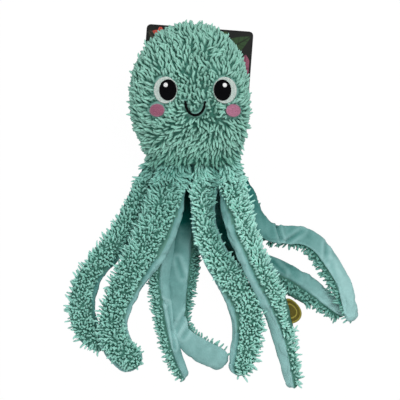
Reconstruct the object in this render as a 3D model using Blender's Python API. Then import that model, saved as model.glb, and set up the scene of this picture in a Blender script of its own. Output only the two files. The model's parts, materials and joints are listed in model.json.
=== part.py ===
"""A plush octopus that lies on its back, face up, with its hang card under its head.

The origin is the centre of the card's back face. +Z points up from the ground,
+Y towards the crown and +X to the right of someone who looks down at the face.
All lengths are in metres.
"""

import math
from dataclasses import dataclass

import bmesh
import bpy
from mathutils import Matrix, Vector

# Clearances, and the distance within which points fall together
GAP = 0.0003
FILLING_GAP = 0.0009
CUT_OVERRUN = 0.002
GROUND_FLAT = 0.0005
MERGE_DISTANCE = 0.000000001

# Hang card
CARD_WIDTH = 0.1175
CARD_HEIGHT = 0.085
CARD_THICKNESS = 0.001
CARD_CORNER = 0.0045
CARD_TILT_DEG = -4.3

# Tack that holds the card to the head's back
TACK_Y = -0.028
TACK_HEAD_RADIUS = 0.0022
TACK_HEAD_THICKNESS = 0.0004
TACK_SHAFT_RADIUS = 0.0006
TACK_BAR_RADIUS = 0.0008
TACK_BAR_LENGTH = 0.007

# Head
HEAD_LENGTH = 0.152
HEAD_WIDTH = 0.130
HEAD_DEPTH = 0.092
HEAD_WALL = 0.004
HEAD_X = -0.0084
CROWN_X = -0.0035
CROWN_Y = 0.045
BACK_FLAT = 0.0015
NECK_WIDTH = 0.098
NECK_DEPTH = 0.058
NECK_X = -0.0035
NECK_Z = 0.033
BASE_PANEL_THICKNESS = 0.0025
WIDEST_SHARE = 0.51
FALL_POWER = 1.6
SECTION_POWER = 2.3

# Squeaker and the pocket that holds it
SQUEAKER_RADIUS = 0.018
SQUEAKER_LENGTH = 0.036
SQUEAKER_WALL = 0.0012
SQUEAKER_MOUTH_RADIUS = 0.0045
SQUEAKER_BASE_DISTANCE = 0.055
REED_LENGTH = 0.009
REED_FLANGE_RADIUS = 0.0065
REED_FLANGE_THICKNESS = 0.0015

# Face
PATCH_THICKNESS = 0.001
FACE_X = -0.0021
EYE_DROP = 0.0758
EYE_SPACING = 0.0628
EYE_WIDTH = 0.0242
EYE_HEIGHT = 0.0274
IRIS_WIDTH = 0.0180
IRIS_HEIGHT = 0.0218
IRIS_INSET = 0.0026
HIGHLIGHT_SIZE = 0.0042
HIGHLIGHT_RISE = 0.0052
HIGHLIGHT_OUTSET = 0.0024
CHEEK_DROP = 0.0970
CHEEK_SPACING = 0.0808
CHEEK_WIDTH = 0.0155
CHEEK_HEIGHT = 0.0132
MOUTH_DROP = 0.0879
MOUTH_WIDTH = 0.0208
MOUTH_DEPTH = 0.0146
MOUTH_LINE = 0.0016

# Arms
ARM_LENGTH = 0.230
ARM_WIDTH = 0.033
ARM_DEPTH = 0.016
ARM_TIP_DEPTH = 0.011
ARM_COVER_WALL = 0.003
ARM_LINING_WALL = 0.002
TIP_ROUND_SHARE = 0.8

# Label on the outer seam of the sixth arm
LABEL_LENGTH = 0.028
LABEL_REACH = 0.0125
LABEL_THICKNESS = 0.0008
LABEL_PLACE_SHARE = 0.703

# Counts of rows and sides
ARM_ROWS = 15
ARM_OUTER_SIDES = 5
ARM_INNER_SIDES = 3
CAP_ROWS = 3
HEAD_CROWN_ROWS = 6
HEAD_NECK_ROWS = 7
HEAD_SIDES = 13
ROUND_SIDES = 20
PATCH_SIDES = 24
SMOOTH_ANGLE_DEG = 40


@dataclass(frozen=True)
class ArmPlan:
    """Where an arm starts, how it is rolled, how it swings and where it lies.

    across_share and height_share place the root on the base panel, as shares of
    its half width and half depth. Each route row is a share of the arm's length
    to the right, one towards the feet, the height of the underside over the
    ground as a share of the arm's depth, and the width as a share of its width.
    """

    across_share: float
    height_share: float
    swing: str
    root_width_share: float
    roll_degrees: tuple
    route_shares: tuple


ARM_PLANS = {
    "arm_1": ArmPlan(-0.90, -0.03, "lower", 0.60, (10, 30, 42, 38, 25), (
        (-0.07, 0.108, 1.05, 0.66), (-0.13, 0.226, 0.40, 0.67), (-0.21, 0.346, 0.05, 0.73),
        (-0.29, 0.455, 0.0, 0.80), (-0.333, 0.546, 0.0, 0.92), (-0.345, 0.656, 0.0, 0.97),
        (-0.32, 0.746, 0.0, 0.88), (-0.262, 0.803, 0.0, 0.70))),
    "arm_2": ArmPlan(-0.45, 0.45, "lift", 0.70, (30, 40, 40, 30, 25), (
        (-0.022, 0.062, 2.20, 1.02), (-0.045, 0.147, 2.00, 1.28), (-0.083, 0.255, 1.65, 1.32),
        (-0.124, 0.345, 1.35, 1.28), (-0.179, 0.44, 1.10, 1.20), (-0.232, 0.535, 0.85, 1.10),
        (-0.275, 0.631, 0.74, 1.03), (-0.291, 0.721, 0.74, 1.01), (-0.272, 0.811, 0.76, 1.01),
        (-0.232, 0.868, 0.60, 0.98))),
    "arm_3": ArmPlan(-0.47, -0.55, "lower", 0.58, (150, 120, 98, 92, 95, 100), (
        (-0.027, 0.101, 0.22, 0.64), (-0.039, 0.239, 0.0, 0.70), (-0.048, 0.358, 0.0, 0.70),
        (-0.069, 0.501, 0.0, 0.70), (-0.059, 0.62, 0.0, 0.65), (-0.04, 0.735, 0.0, 0.61),
        (-0.01, 0.84, 0.0, 0.60), (0.028, 0.916, 0.0, 0.56))),
    "arm_4": ArmPlan(0.02, -0.58, "lower", 0.58, (240, 244, 238, 222, 205), (
        (-0.015, 0.106, 0.20, 0.66), (-0.024, 0.23, 0.0, 0.80), (-0.034, 0.363, 0.0, 0.87),
        (-0.053, 0.501, 0.0, 0.87), (-0.066, 0.602, 0.0, 0.71), (-0.067, 0.687, 0.0, 0.55),
        (-0.046, 0.764, 0.0, 0.62), (0.023, 0.823, 0.0, 0.78), (0.107, 0.871, 0.0, 0.78))),
    "arm_5": ArmPlan(0.26, 0.48, "lift", 0.68, (0, 0, -20, -38, -48), (
        (-0.006, 0.074, 2.25, 0.76), (-0.013, 0.177, 1.95, 0.79), (0.003, 0.286, 1.60, 0.85),
        (0.048, 0.39, 1.22, 0.89), (0.117, 0.501, 0.86, 0.98), (0.177, 0.621, 0.58, 1.08),
        (0.199, 0.73, 0.40, 1.12), (0.187, 0.835, 0.30, 1.02), (0.168, 0.912, 0.28, 0.90))),
    "arm_6": ArmPlan(0.77, 0.33, "lift", 0.70, (-50, -57, -60, -72, -90), (
        (0.019, 0.082, 2.05, 0.92), (0.038, 0.162, 1.90, 1.00), (0.059, 0.261, 1.62, 1.01),
        (0.102, 0.369, 1.38, 0.92), (0.154, 0.478, 1.22, 0.86), (0.207, 0.589, 0.75, 0.83),
        (0.242, 0.70, 0.15, 0.82), (0.274, 0.815, 0.0, 0.73), (0.294, 0.915, 0.0, 0.65),
        (0.302, 0.963, 0.0, 0.60))),
    "arm_7": ArmPlan(0.93, -0.26, "sweep", 0.60, (160, 150, 140, 140, 150), (
        (0.05, 0.10, 0.98, 0.62), (0.095, 0.20, 0.98, 0.68), (0.155, 0.27, 0.80, 0.68),
        (0.23, 0.295, 0.38, 0.62), (0.31, 0.305, 0.05, 0.64), (0.38, 0.34, 0.0, 0.70),
        (0.445, 0.425, 0.15, 0.70), (0.50, 0.525, 0.72, 0.68), (0.53, 0.615, 1.05, 0.64),
        (0.54, 0.66, 1.08, 0.56))),
    "arm_8": ArmPlan(0.49, -0.60, "lower", 0.58, (180, 160, 135, 115, 112), (
        (0.014, 0.075, 0.05, 0.66), (0.038, 0.194, 0.0, 0.70), (0.081, 0.309, 0.0, 0.76),
        (0.147, 0.397, 0.0, 0.88), (0.228, 0.447, 0.0, 0.99), (0.319, 0.487, 0.0, 0.99),
        (0.414, 0.542, 0.0, 0.92), (0.505, 0.604, 0.0, 0.80), (0.581, 0.657, 0.0, 0.62))),
}

# Heights and levels that follow from the sizes
BACK_LEVEL = CARD_THICKNESS + GAP
HEAD_Z = BACK_LEVEL + HEAD_DEPTH / 2 - BACK_FLAT
BASE_Y = CROWN_Y - HEAD_LENGTH
PANEL_OUTER_Y = BASE_Y - GAP - BASE_PANEL_THICKNESS
POCKET_RADIUS = SQUEAKER_RADIUS + FILLING_GAP
SQUEAKER_TOP_Y = BASE_Y + SQUEAKER_BASE_DISTANCE + SQUEAKER_LENGTH
SQUEAKER_MOUTH_Y = BASE_Y + SQUEAKER_BASE_DISTANCE
TACK_BAR_Z = BACK_LEVEL + HEAD_WALL + GAP + TACK_BAR_RADIUS


# Materials

def linear_colour(red, green, blue):
    """Return a display colour of 0 to 255 as linear RGBA."""
    return tuple(((c / 255.0 + 0.055) / 1.055) ** 2.4 for c in (red, green, blue)) + (1.0,)


def make_material(name, colour, roughness, metallic=0.0):
    """Return a plain Principled material."""
    material = bpy.data.materials.new(name)
    material.use_nodes = True
    shader = material.node_tree.nodes["Principled BSDF"]
    shader.inputs["Base Color"].default_value = linear_colour(*colour)
    shader.inputs["Roughness"].default_value = roughness
    shader.inputs["Metallic"].default_value = metallic
    material.diffuse_color = linear_colour(*colour)
    return material


def make_materials():
    """Return every material of the toy by its name."""
    return {
        "noodle_cloth": make_material("noodle_cloth", (112, 178, 153), 0.9),
        "smooth_plush": make_material("smooth_plush", (126, 178, 170), 0.85),
        "fibre_fill": make_material("fibre_fill", (236, 236, 232), 0.95),
        "white_thread": make_material("white_thread", (214, 212, 224), 0.6),
        "black_thread": make_material("black_thread", (16, 16, 20), 0.5),
        "pink_thread": make_material("pink_thread", (205, 112, 148), 0.6),
        "printed_card": make_material("printed_card", (30, 40, 32), 0.45),
        "clear_nylon": make_material("clear_nylon", (226, 228, 226), 0.3),
        "soft_vinyl": make_material("soft_vinyl", (232, 226, 208), 0.4),
        "olive_label": make_material("olive_label", (128, 118, 48), 0.6),
    }


# Mesh tools

def ring_vertices(mesh, points):
    """Add a row of points, and use one vertex where neighbours fall together."""
    vertices = []
    for point in points:
        if vertices and (vertices[-1].co - Vector(point)).length < MERGE_DISTANCE:
            vertices.append(vertices[-1])
        else:
            vertices.append(mesh.verts.new(point))
    if len(vertices) > 1 and (vertices[0].co - vertices[-1].co).length < MERGE_DISTANCE:
        last = vertices[-1]
        vertices = [vertices[0] if vertex is last else vertex for vertex in vertices]
    return vertices


def add_face(mesh, vertices):
    """Add a face, without the corners that fall together."""
    corners = []
    for vertex in vertices:
        if vertex not in corners:
            corners.append(vertex)
    if len(corners) > 2:
        mesh.faces.new(corners)


def add_end(mesh, ring, outer_count):
    """Close one end of a loft, as a disc or, for a shell, as a strip."""
    if outer_count is None:
        add_face(mesh, ring)
        return
    outer = ring[:outer_count]
    inner = ring[outer_count:][::-1]
    for a, b, c, d in zip(outer, outer[1:], inner[1:], inner):
        add_face(mesh, (a, b, c, d))


def loft(rows, outer_count=None):
    """Return a closed mesh through rows of points, each row a closed ring.

    A row whose points fall together closes its end by itself. outer_count is
    the number of outer points in each row of a shell.
    """
    mesh = bmesh.new()
    rings = [ring_vertices(mesh, row) for row in rows]
    for ring, following in zip(rings, rings[1:]):
        for i, vertex in enumerate(ring):
            j = (i + 1) % len(ring)
            add_face(mesh, (vertex, ring[j], following[j], following[i]))
    for ring in (rings[0], rings[-1]):
        if len(set(ring)) > 2:
            add_end(mesh, ring, outer_count)
    bmesh.ops.recalc_face_normals(mesh, faces=mesh.faces)
    return mesh


def make_object(name, mesh, material, parent=None):
    """Turn a mesh into a named, smooth-shaded object."""
    data = bpy.data.meshes.new(name)
    mesh.to_mesh(data)
    mesh.free()
    data.shade_smooth()
    data.set_sharp_from_angle(angle=math.radians(SMOOTH_ANGLE_DEG))
    data.materials.append(material)
    part = bpy.data.objects.new(name, data)
    part.parent = parent
    bpy.context.collection.objects.link(part)
    return part


def make_pivot(name, place):
    """Return an empty that stands on a joint's axis."""
    pivot = bpy.data.objects.new(name, None)
    pivot.location = place
    bpy.context.collection.objects.link(pivot)
    return pivot


def turned(profile, axis_point, along, side, sides=ROUND_SIDES):
    """Return a mesh that turns a profile of radius and height round an axis."""
    along = Vector(along)
    side = Vector(side)
    other = along.cross(side)
    rows = []
    for radius, height in profile:
        centre = Vector(axis_point) + along * height
        angles = [math.tau * i / sides for i in range(sides)]
        rows.append([centre + radius * (side * math.cos(a) + other * math.sin(a)) for a in angles])
    return loft(rows)


def boolean(part, operation, tool):
    """Let a hidden guide cut or join a part."""
    tool.hide_render = True
    tool.display_type = "WIRE"
    step = part.modifiers.new(tool.name, "BOOLEAN")
    step.operation = operation
    step.object = tool
    step.solver = "EXACT"


# Head

def head_section(share, inset=0.0):
    """Return the centre and half sizes of the head's section.

    share runs from 0 at the crown to 1 at the neck, and inset moves the section
    into the wall.
    """
    swell, fall = 1.0, 1.0
    if share < WIDEST_SHARE:
        swell = math.sqrt(max(0.0, 1.0 - (1.0 - share / WIDEST_SHARE) ** 2))
    else:
        past = (share - WIDEST_SHARE) / (1.0 - WIDEST_SHARE)
        fall = 0.5 * (1.0 + math.cos(math.pi * past ** FALL_POWER))
    half_width = swell * (NECK_WIDTH + (HEAD_WIDTH - NECK_WIDTH) * fall) / 2
    half_depth = swell * (NECK_DEPTH + (HEAD_DEPTH - NECK_DEPTH) * fall) / 2
    half_width *= 1.0 - 2 * inset / HEAD_WIDTH
    half_depth *= 1.0 - 2 * inset / HEAD_DEPTH
    x = NECK_X + (HEAD_X - NECK_X) * fall + (CROWN_X - HEAD_X) * (1.0 - swell)
    z = NECK_Z + (HEAD_Z - NECK_Z) * fall
    return x, z, half_width, half_depth


def head_point(share, angle, inset=0.0, shift=0.0):
    """Return a point on the head, at an angle round its section.

    shift raises the section, but never below the flat on which the head lies.
    """
    x, z, half_width, half_depth = head_section(share, inset)
    cos, sin = math.cos(angle), math.sin(angle)
    x += half_width * math.copysign(abs(cos) ** (2 / SECTION_POWER), cos)
    z += shift + half_depth * math.copysign(abs(sin) ** (2 / SECTION_POWER), sin)
    y = CROWN_Y - inset - share * (HEAD_LENGTH - inset)
    return Vector((x, y, max(z, BACK_LEVEL + inset)))


def head_front_height(x, y):
    """Return the height of the head's front over a point of the ground."""
    centre_x, centre_z, half_width, half_depth = head_section((CROWN_Y - y) / HEAD_LENGTH)
    off = min(1.0, abs(x - centre_x) / half_width)
    return centre_z + half_depth * (1.0 - off ** SECTION_POWER) ** (1 / SECTION_POWER)


def head_row_shares():
    """Return the places of the head's rows, from the crown to the neck."""
    turns = [math.pi / 2 * i / HEAD_CROWN_ROWS for i in range(HEAD_CROWN_ROWS)]
    crown = [WIDEST_SHARE * (1.0 - math.cos(turn)) for turn in turns]
    step = (1.0 - WIDEST_SHARE) / HEAD_NECK_ROWS
    return crown + [WIDEST_SHARE + step * i for i in range(HEAD_NECK_ROWS + 1)]


def head_half_cover(start_angle, shift):
    """Return one half of the head's cover, moved off the seam by shift."""
    angles = [start_angle + math.pi * i / HEAD_SIDES for i in range(HEAD_SIDES + 1)]
    rows = []
    for share in head_row_shares():
        outer = [head_point(share, a, 0.0, shift) for a in angles]
        inner = [head_point(share, a, HEAD_WALL, shift) for a in reversed(angles)]
        rows.append(outer + inner)
    return loft(rows, outer_count=len(angles))


def make_head_covers(materials):
    """Make the front and back covers, with the tack's hole in the back one."""
    seam = GAP / 2
    make_object("head_front_cover", head_half_cover(0.0, seam), materials["noodle_cloth"])
    back = head_half_cover(math.pi, -seam)
    cover = make_object("head_back_cover", back, materials["noodle_cloth"])
    hole = turned(
        ((TACK_SHAFT_RADIUS + GAP, 0.0), (TACK_SHAFT_RADIUS + GAP, HEAD_WALL + 2 * CUT_OVERRUN)),
        (HEAD_X, TACK_Y, BACK_LEVEL - CUT_OVERRUN), (0, 0, 1), (1, 0, 0))
    boolean(cover, "DIFFERENCE", make_object("tack_hole_guide", hole, materials["clear_nylon"]))


def make_head_filling(materials):
    """Make the head's filling, with the squeaker's pocket and the tack bar's slot."""
    inset = HEAD_WALL + FILLING_GAP
    angles = [math.pi * i / HEAD_SIDES for i in range(2 * HEAD_SIDES)]
    rows = [[head_point(share, a, inset) for a in angles] for share in head_row_shares()]
    filling = make_object("head_filling", loft(rows), materials["fibre_fill"])
    middle_y = SQUEAKER_TOP_Y - SQUEAKER_LENGTH / 2
    dome = [p for p in squeaker_arc(POCKET_RADIUS, SQUEAKER_LENGTH + 2 * FILLING_GAP) if p[1] > 0.0]
    wall = [(POCKET_RADIUS, 0.0), (POCKET_RADIUS, BASE_Y - CUT_OVERRUN - middle_y)]
    pocket = turned(dome + wall, (NECK_X, middle_y, NECK_Z), (0, 1, 0), (1, 0, 0))
    boolean(filling, "DIFFERENCE", make_object("pocket_guide", pocket, materials["fibre_fill"]))
    radius = TACK_BAR_RADIUS + GAP
    half = TACK_BAR_LENGTH / 2 + GAP
    slot = turned(((radius, -half), (radius, half)),
                  (HEAD_X, TACK_Y, TACK_BAR_Z), (1, 0, 0), (0, 1, 0))
    boolean(filling, "DIFFERENCE", make_object("bar_slot_guide", slot, materials["fibre_fill"]))


def make_closing_wad(materials):
    """Make the wad of filling that closes the pocket behind the squeaker."""
    reed_end = SQUEAKER_MOUTH_Y - REED_FLANGE_THICKNESS - 2 * GAP
    wad = turned(((SQUEAKER_RADIUS, BASE_Y), (SQUEAKER_RADIUS, reed_end)),
                 (NECK_X, 0.0, NECK_Z), (0, 1, 0), (1, 0, 0))
    make_object("closing_wad", wad, materials["fibre_fill"])


def make_base_panel(materials):
    """Make the plush panel that closes the head between the arm roots."""
    angles = [math.pi * i / HEAD_SIDES for i in range(2 * HEAD_SIDES)]
    rim = [head_point(1.0, a) for a in angles]
    rows = [[Vector((p.x, y, p.z)) for p in rim] for y in (BASE_Y - GAP, PANEL_OUTER_Y)]
    make_object("base_panel", loft(rows), materials["smooth_plush"])


# Squeaker

def squeaker_arc(radius, length):
    """Return the profile of the bulb from its closed end to its mouth."""
    steps = 2 * CAP_ROWS + 1
    end = math.pi - math.asin(min(1.0, SQUEAKER_MOUTH_RADIUS / radius))
    arc = []
    for i in range(steps + 1):
        turn = end * i / steps
        arc.append((radius * math.sin(turn), length / 2 * math.cos(turn)))
    return arc


def make_squeaker(materials):
    """Make the hollow bulb and the reed plug in its mouth."""
    centre = (NECK_X, SQUEAKER_TOP_Y - SQUEAKER_LENGTH / 2, NECK_Z)
    outer = squeaker_arc(SQUEAKER_RADIUS, SQUEAKER_LENGTH)
    inner = squeaker_arc(SQUEAKER_RADIUS - SQUEAKER_WALL, SQUEAKER_LENGTH - 2 * SQUEAKER_WALL)
    bulb = turned(outer + inner[::-1], centre, (0, 1, 0), (1, 0, 0))
    make_object("squeaker_bulb", bulb, materials["soft_vinyl"])
    plug = SQUEAKER_MOUTH_RADIUS - 2 * GAP
    reed = turned(((REED_FLANGE_RADIUS, -REED_FLANGE_THICKNESS - GAP), (REED_FLANGE_RADIUS, -GAP),
                   (plug, -GAP), (plug, REED_LENGTH)),
                  (NECK_X, SQUEAKER_MOUTH_Y, NECK_Z), (0, 1, 0), (1, 0, 0))
    make_object("squeaker_reed", reed, materials["clear_nylon"])


# Face

def face_point(x, y, lift):
    """Return a point over the head's front."""
    return Vector((x, y, head_front_height(x, y) + lift))


def make_patch(name, centre, size, layer, material):
    """Make an oval patch that follows the head's front.

    layer counts the patches below it.
    """
    low = GAP + layer * (PATCH_THICKNESS + GAP)
    levels = ((0.0, low), (0.5, low), (1.0, low), (1.0, low + PATCH_THICKNESS),
              (0.5, low + PATCH_THICKNESS), (0.0, low + PATCH_THICKNESS))
    rows = []
    for reach, lift in levels:
        ring = []
        for i in range(PATCH_SIDES):
            angle = math.tau * i / PATCH_SIDES
            x = centre[0] + reach * size[0] / 2 * math.cos(angle)
            y = centre[1] + reach * size[1] / 2 * math.sin(angle)
            ring.append(face_point(x, y, lift))
        rows.append(ring)
    make_object(name, loft(rows), material)


def make_eye(side_name, side, materials):
    """Make one eye: a pale patch, a black iris and a highlight."""
    x = FACE_X + side * EYE_SPACING / 2
    y = CROWN_Y - EYE_DROP
    iris_x = x - side * IRIS_INSET
    make_patch(side_name + "_eye_patch", (x, y), (EYE_WIDTH, EYE_HEIGHT), 0,
               materials["white_thread"])
    make_patch(side_name + "_iris", (iris_x, y), (IRIS_WIDTH, IRIS_HEIGHT), 1,
               materials["black_thread"])
    make_patch(side_name + "_highlight", (iris_x + side * HIGHLIGHT_OUTSET, y + HIGHLIGHT_RISE),
               (HIGHLIGHT_SIZE, HIGHLIGHT_SIZE), 2, materials["white_thread"])


def make_cheek(side_name, side, materials):
    """Make one pink cheek."""
    centre = (FACE_X + side * CHEEK_SPACING / 2, CROWN_Y - CHEEK_DROP)
    make_patch(side_name + "_cheek", centre, (CHEEK_WIDTH, CHEEK_HEIGHT), 0,
               materials["pink_thread"])


def make_mouth(materials):
    """Make the stitched smile, a half oval line on the head's front."""
    low, high = GAP, GAP + PATCH_THICKNESS
    rows = []
    for i in range(PATCH_SIDES + 1):
        angle = math.pi + math.pi * i / PATCH_SIDES
        ring = []
        for out, lift in ((-1, low), (1, low), (1, high), (-1, high)):
            half_width = (MOUTH_WIDTH + out * MOUTH_LINE) / 2
            depth = MOUTH_DEPTH + out * MOUTH_LINE / 2
            x = FACE_X + half_width * math.cos(angle)
            y = CROWN_Y - MOUTH_DROP + depth * math.sin(angle)
            ring.append(face_point(x, y, lift))
        rows.append(ring)
    make_object("mouth_stitch", loft(rows), materials["black_thread"])


def make_face(materials):
    """Make the eyes, cheeks and mouth."""
    for side_name, side in (("left", -1), ("right", 1)):
        make_eye(side_name, side, materials)
        make_cheek(side_name, side, materials)
    make_mouth(materials)


# Hang card

def card_outline():
    """Return the card's rounded outline round its own centre."""
    points = []
    for corner in range(4):
        x_sign = 1 if corner in (0, 3) else -1
        y_sign = 1 if corner in (0, 1) else -1
        centre_x = x_sign * (CARD_WIDTH / 2 - CARD_CORNER)
        centre_y = y_sign * (CARD_HEIGHT / 2 - CARD_CORNER)
        for i in range(CAP_ROWS + 1):
            angle = math.pi / 2 * (corner + i / CAP_ROWS)
            points.append((centre_x + CARD_CORNER * math.cos(angle),
                           centre_y + CARD_CORNER * math.sin(angle)))
    return points


def make_card(materials):
    """Make the card, on its pivot at the tack, with the tack's stepped hole."""
    tilt = Matrix.Rotation(math.radians(CARD_TILT_DEG), 4, "Z")
    place = Vector((HEAD_X, TACK_Y, 0.0))
    pivot = make_pivot("card_pivot", place)
    rows = [[tilt @ Vector((x, y, z)) - place for x, y in card_outline()]
            for z in (0.0, CARD_THICKNESS)]
    card = make_object("hang_card", loft(rows), materials["printed_card"], pivot)
    wide, narrow = TACK_HEAD_RADIUS + GAP, TACK_SHAFT_RADIUS + GAP
    step = TACK_HEAD_THICKNESS + GAP
    hole = turned(((wide, -CUT_OVERRUN), (wide, step), (narrow, step),
                   (narrow, CARD_THICKNESS + CUT_OVERRUN)),
                  (0, 0, 0), (0, 0, 1), (1, 0, 0))
    boolean(card, "DIFFERENCE", make_object("card_hole_guide", hole, materials["printed_card"], pivot))


def make_tack(materials):
    """Make the T-shaped tack: a flat head, a thin shaft and a cross bar."""
    low = GAP / 2
    shaft = turned(((TACK_HEAD_RADIUS, low), (TACK_HEAD_RADIUS, low + TACK_HEAD_THICKNESS),
                    (TACK_SHAFT_RADIUS, low + TACK_HEAD_THICKNESS), (TACK_SHAFT_RADIUS, TACK_BAR_Z)),
                   (HEAD_X, TACK_Y, 0.0), (0, 0, 1), (1, 0, 0), sides=ROUND_SIDES // 2)
    tack = make_object("card_tack", shaft, materials["clear_nylon"])
    half = TACK_BAR_LENGTH / 2
    bar = turned(((TACK_BAR_RADIUS, -half), (TACK_BAR_RADIUS, half)),
                 (HEAD_X, TACK_Y, TACK_BAR_Z), (1, 0, 0), (0, 1, 0), sides=ROUND_SIDES // 2)
    boolean(tack, "UNION", make_object("tack_bar_guide", bar, materials["clear_nylon"]))


# Arms

def smooth_between(values, place):
    """Return a value between evenly spaced ones, on a smooth curve."""
    spans = len(values) - 1
    span = min(int(place * spans), spans - 1)
    t = place * spans - span
    before = values[max(span - 1, 0)]
    a, b = values[span], values[span + 1]
    after = values[min(span + 2, spans)]
    return 0.5 * (2 * a + (b - before) * t + (2 * before - 5 * a + 4 * b - after) * t ** 2
                  + (3 * a - before - 3 * b + after) * t ** 3)


def arm_depth(place):
    """Return the arm's depth at a share of its length."""
    return ARM_DEPTH + (ARM_TIP_DEPTH - ARM_DEPTH) * place


def root_direction(plan):
    """Return the level direction in which an arm leaves the base panel."""
    first = plan.route_shares[0]
    return Vector((first[0], -first[1], 0.0)).normalized()


def root_reach(plan):
    """Return how far the rounded root reaches behind its hinge."""
    return ARM_WIDTH * plan.root_width_share / 2 if plan.swing == "sweep" else ARM_DEPTH / 2


def root_place(plan):
    """Return the hinge's centre, so that the rounded root just clears the base panel."""
    across = abs(root_direction(plan).x)
    half_width = ARM_WIDTH * plan.root_width_share / 2
    reach = root_reach(plan)
    support = math.sqrt((half_width * across) ** 2 + reach ** 2 * (1.0 - across ** 2))
    return Vector((NECK_X + plan.across_share * NECK_WIDTH / 2,
                   PANEL_OUTER_Y - GAP - support,
                   NECK_Z + plan.height_share * NECK_DEPTH / 2))


def arm_stations(plan):
    """Return the arm's places, widths and rolls at even steps along it."""
    root = root_place(plan)
    places = [root]
    widths = [ARM_WIDTH * plan.root_width_share]
    for right, down, level, width in plan.route_shares:
        share = down / plan.route_shares[-1][1]
        height = level * ARM_DEPTH + arm_depth(share) / 2 - GROUND_FLAT
        places.append(Vector((root.x + right * ARM_LENGTH, root.y - down * ARM_LENGTH, height)))
        widths.append(width * ARM_WIDTH)
    fine = [i / (8 * ARM_ROWS) for i in range(8 * ARM_ROWS + 1)]
    path = [smooth_between(places, t) for t in fine]
    runs = [0.0]
    for a, b in zip(path, path[1:]):
        runs.append(runs[-1] + (b - a).length)
    stations = []
    for row in range(ARM_ROWS + 1):
        wanted = runs[-1] * row / ARM_ROWS
        index = min(range(len(runs)), key=lambda i: abs(runs[i] - wanted))
        stations.append((path[index], smooth_between(widths, fine[index]),
                         smooth_between(plan.roll_degrees, row / ARM_ROWS)))
    return stations


def arm_rows(plan):
    """Return the arm's sections: centre, axes, half sizes, roll and end rounding.

    The first and last rows close the root and the tip to a point.
    """
    stations = arm_stations(plan)
    rows = []
    last = len(stations) - 1
    for i, (place, width, roll) in enumerate(stations):
        ahead = stations[min(i + 1, last)][0] - stations[max(i - 1, 0)][0]
        if i == 0:
            ahead = root_direction(plan)
        ahead.z = 0.0
        ahead.normalize()
        side = Vector((0, 0, 1)).cross(ahead)
        rows.append((place, ahead, side, width / 2, arm_depth(i / last) / 2, math.radians(roll)))
    return rows


def section_point(row, angle, inset, cap_angle, cap_reach):
    """Return a point of an arm's section; cap_angle is a right angle off the ends."""
    place, ahead, side, half_width, half_depth, _ = row
    size = math.sin(cap_angle)
    centre = place + ahead * (cap_reach - math.copysign(inset, cap_reach)) * math.cos(cap_angle)
    offset = side * ((half_width - inset) * size * math.cos(angle))
    point = centre + offset
    point.z += (half_depth - inset) * size * math.sin(angle)
    return point


def arm_sections(plan):
    """Return every section of the arm with its cap angle and reach, root to tip."""
    rows = arm_rows(plan)
    turns = [math.pi / 2 * i / CAP_ROWS for i in range(CAP_ROWS)]
    sections = [(rows[0], turn, -root_reach(plan)) for turn in turns]
    sections += [(row, math.pi / 2, root_reach(plan)) for row in rows]
    tip_reach = rows[-1][3] * TIP_ROUND_SHARE
    sections += [(rows[-1], turn, tip_reach) for turn in reversed(turns)]
    return sections


def half_ring(section, start, sides, inset):
    """Return the points of half a section, a little off the seam and off the ground."""
    row, cap_angle, reach = section
    middle = start + math.pi / 2
    off_seam = (row[2] * math.cos(middle) + Vector((0, 0, math.sin(middle)))) * GAP / 2
    points = []
    for j in range(sides + 1):
        angle = start + math.pi * j / sides
        point = section_point(row, angle, inset, cap_angle, reach) + off_seam
        point.z = max(point.z, inset)
        points.append(point)
    return points


def arm_shell(plan, half_turn, wall):
    """Return the cover or the lining of an arm, the half shell after half_turn."""
    pivot = root_place(plan)
    rows = []
    for section in arm_sections(plan):
        start = section[0][5] + half_turn
        outer = half_ring(section, start, ARM_OUTER_SIDES, 0.0)
        inner = half_ring(section, start, ARM_INNER_SIDES, wall)
        rows.append([point - pivot for point in outer + inner[::-1]])
    return loft(rows)


def arm_filling(plan):
    """Return the filling that lies in an arm's cover and lining."""
    pivot = root_place(plan)
    cover_inset, lining_inset = ARM_COVER_WALL + FILLING_GAP, ARM_LINING_WALL + FILLING_GAP
    rows = []
    for row, cap_angle, reach in arm_sections(plan):
        ring = []
        for j in range(2 * ARM_INNER_SIDES):
            in_lining = j > ARM_INNER_SIDES
            inset = lining_inset if in_lining else cover_inset
            angle = row[5] + math.pi * j / ARM_INNER_SIDES
            point = section_point(row, angle, cover_inset, cap_angle, reach)
            if in_lining:
                wide = section_point(row, angle, inset, cap_angle, reach)
                point = point.lerp(wide, math.sin(cap_angle))
            point.z = max(point.z, inset)
            ring.append(point - pivot)
        rows.append(ring)
    return loft(rows)


def make_arm(name, plan, materials):
    """Make one arm on its pivot: noodle cover, plush lining and filling."""
    pivot = make_pivot(name + "_pivot", root_place(plan))
    make_object(name + "_cover", arm_shell(plan, 0.0, ARM_COVER_WALL),
                materials["noodle_cloth"], pivot)
    make_object(name + "_lining", arm_shell(plan, math.pi, ARM_LINING_WALL),
                materials["smooth_plush"], pivot)
    make_object(name + "_filling", arm_filling(plan), materials["fibre_fill"], pivot)


# Label

def arm_edge(row):
    """Return the place beside an arm's section where the label's middle layer starts."""
    place, _, side, half_width, _, _ = row
    return place + side * (half_width + GAP + LABEL_THICKNESS / 2)


def edge_at(rows, share):
    """Return the place beside an arm at a share of the way from its root to its tip."""
    place = share * (len(rows) - 1)
    index = min(int(place), len(rows) - 2)
    return arm_edge(rows[index]).lerp(arm_edge(rows[index + 1]), place - index)


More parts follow.
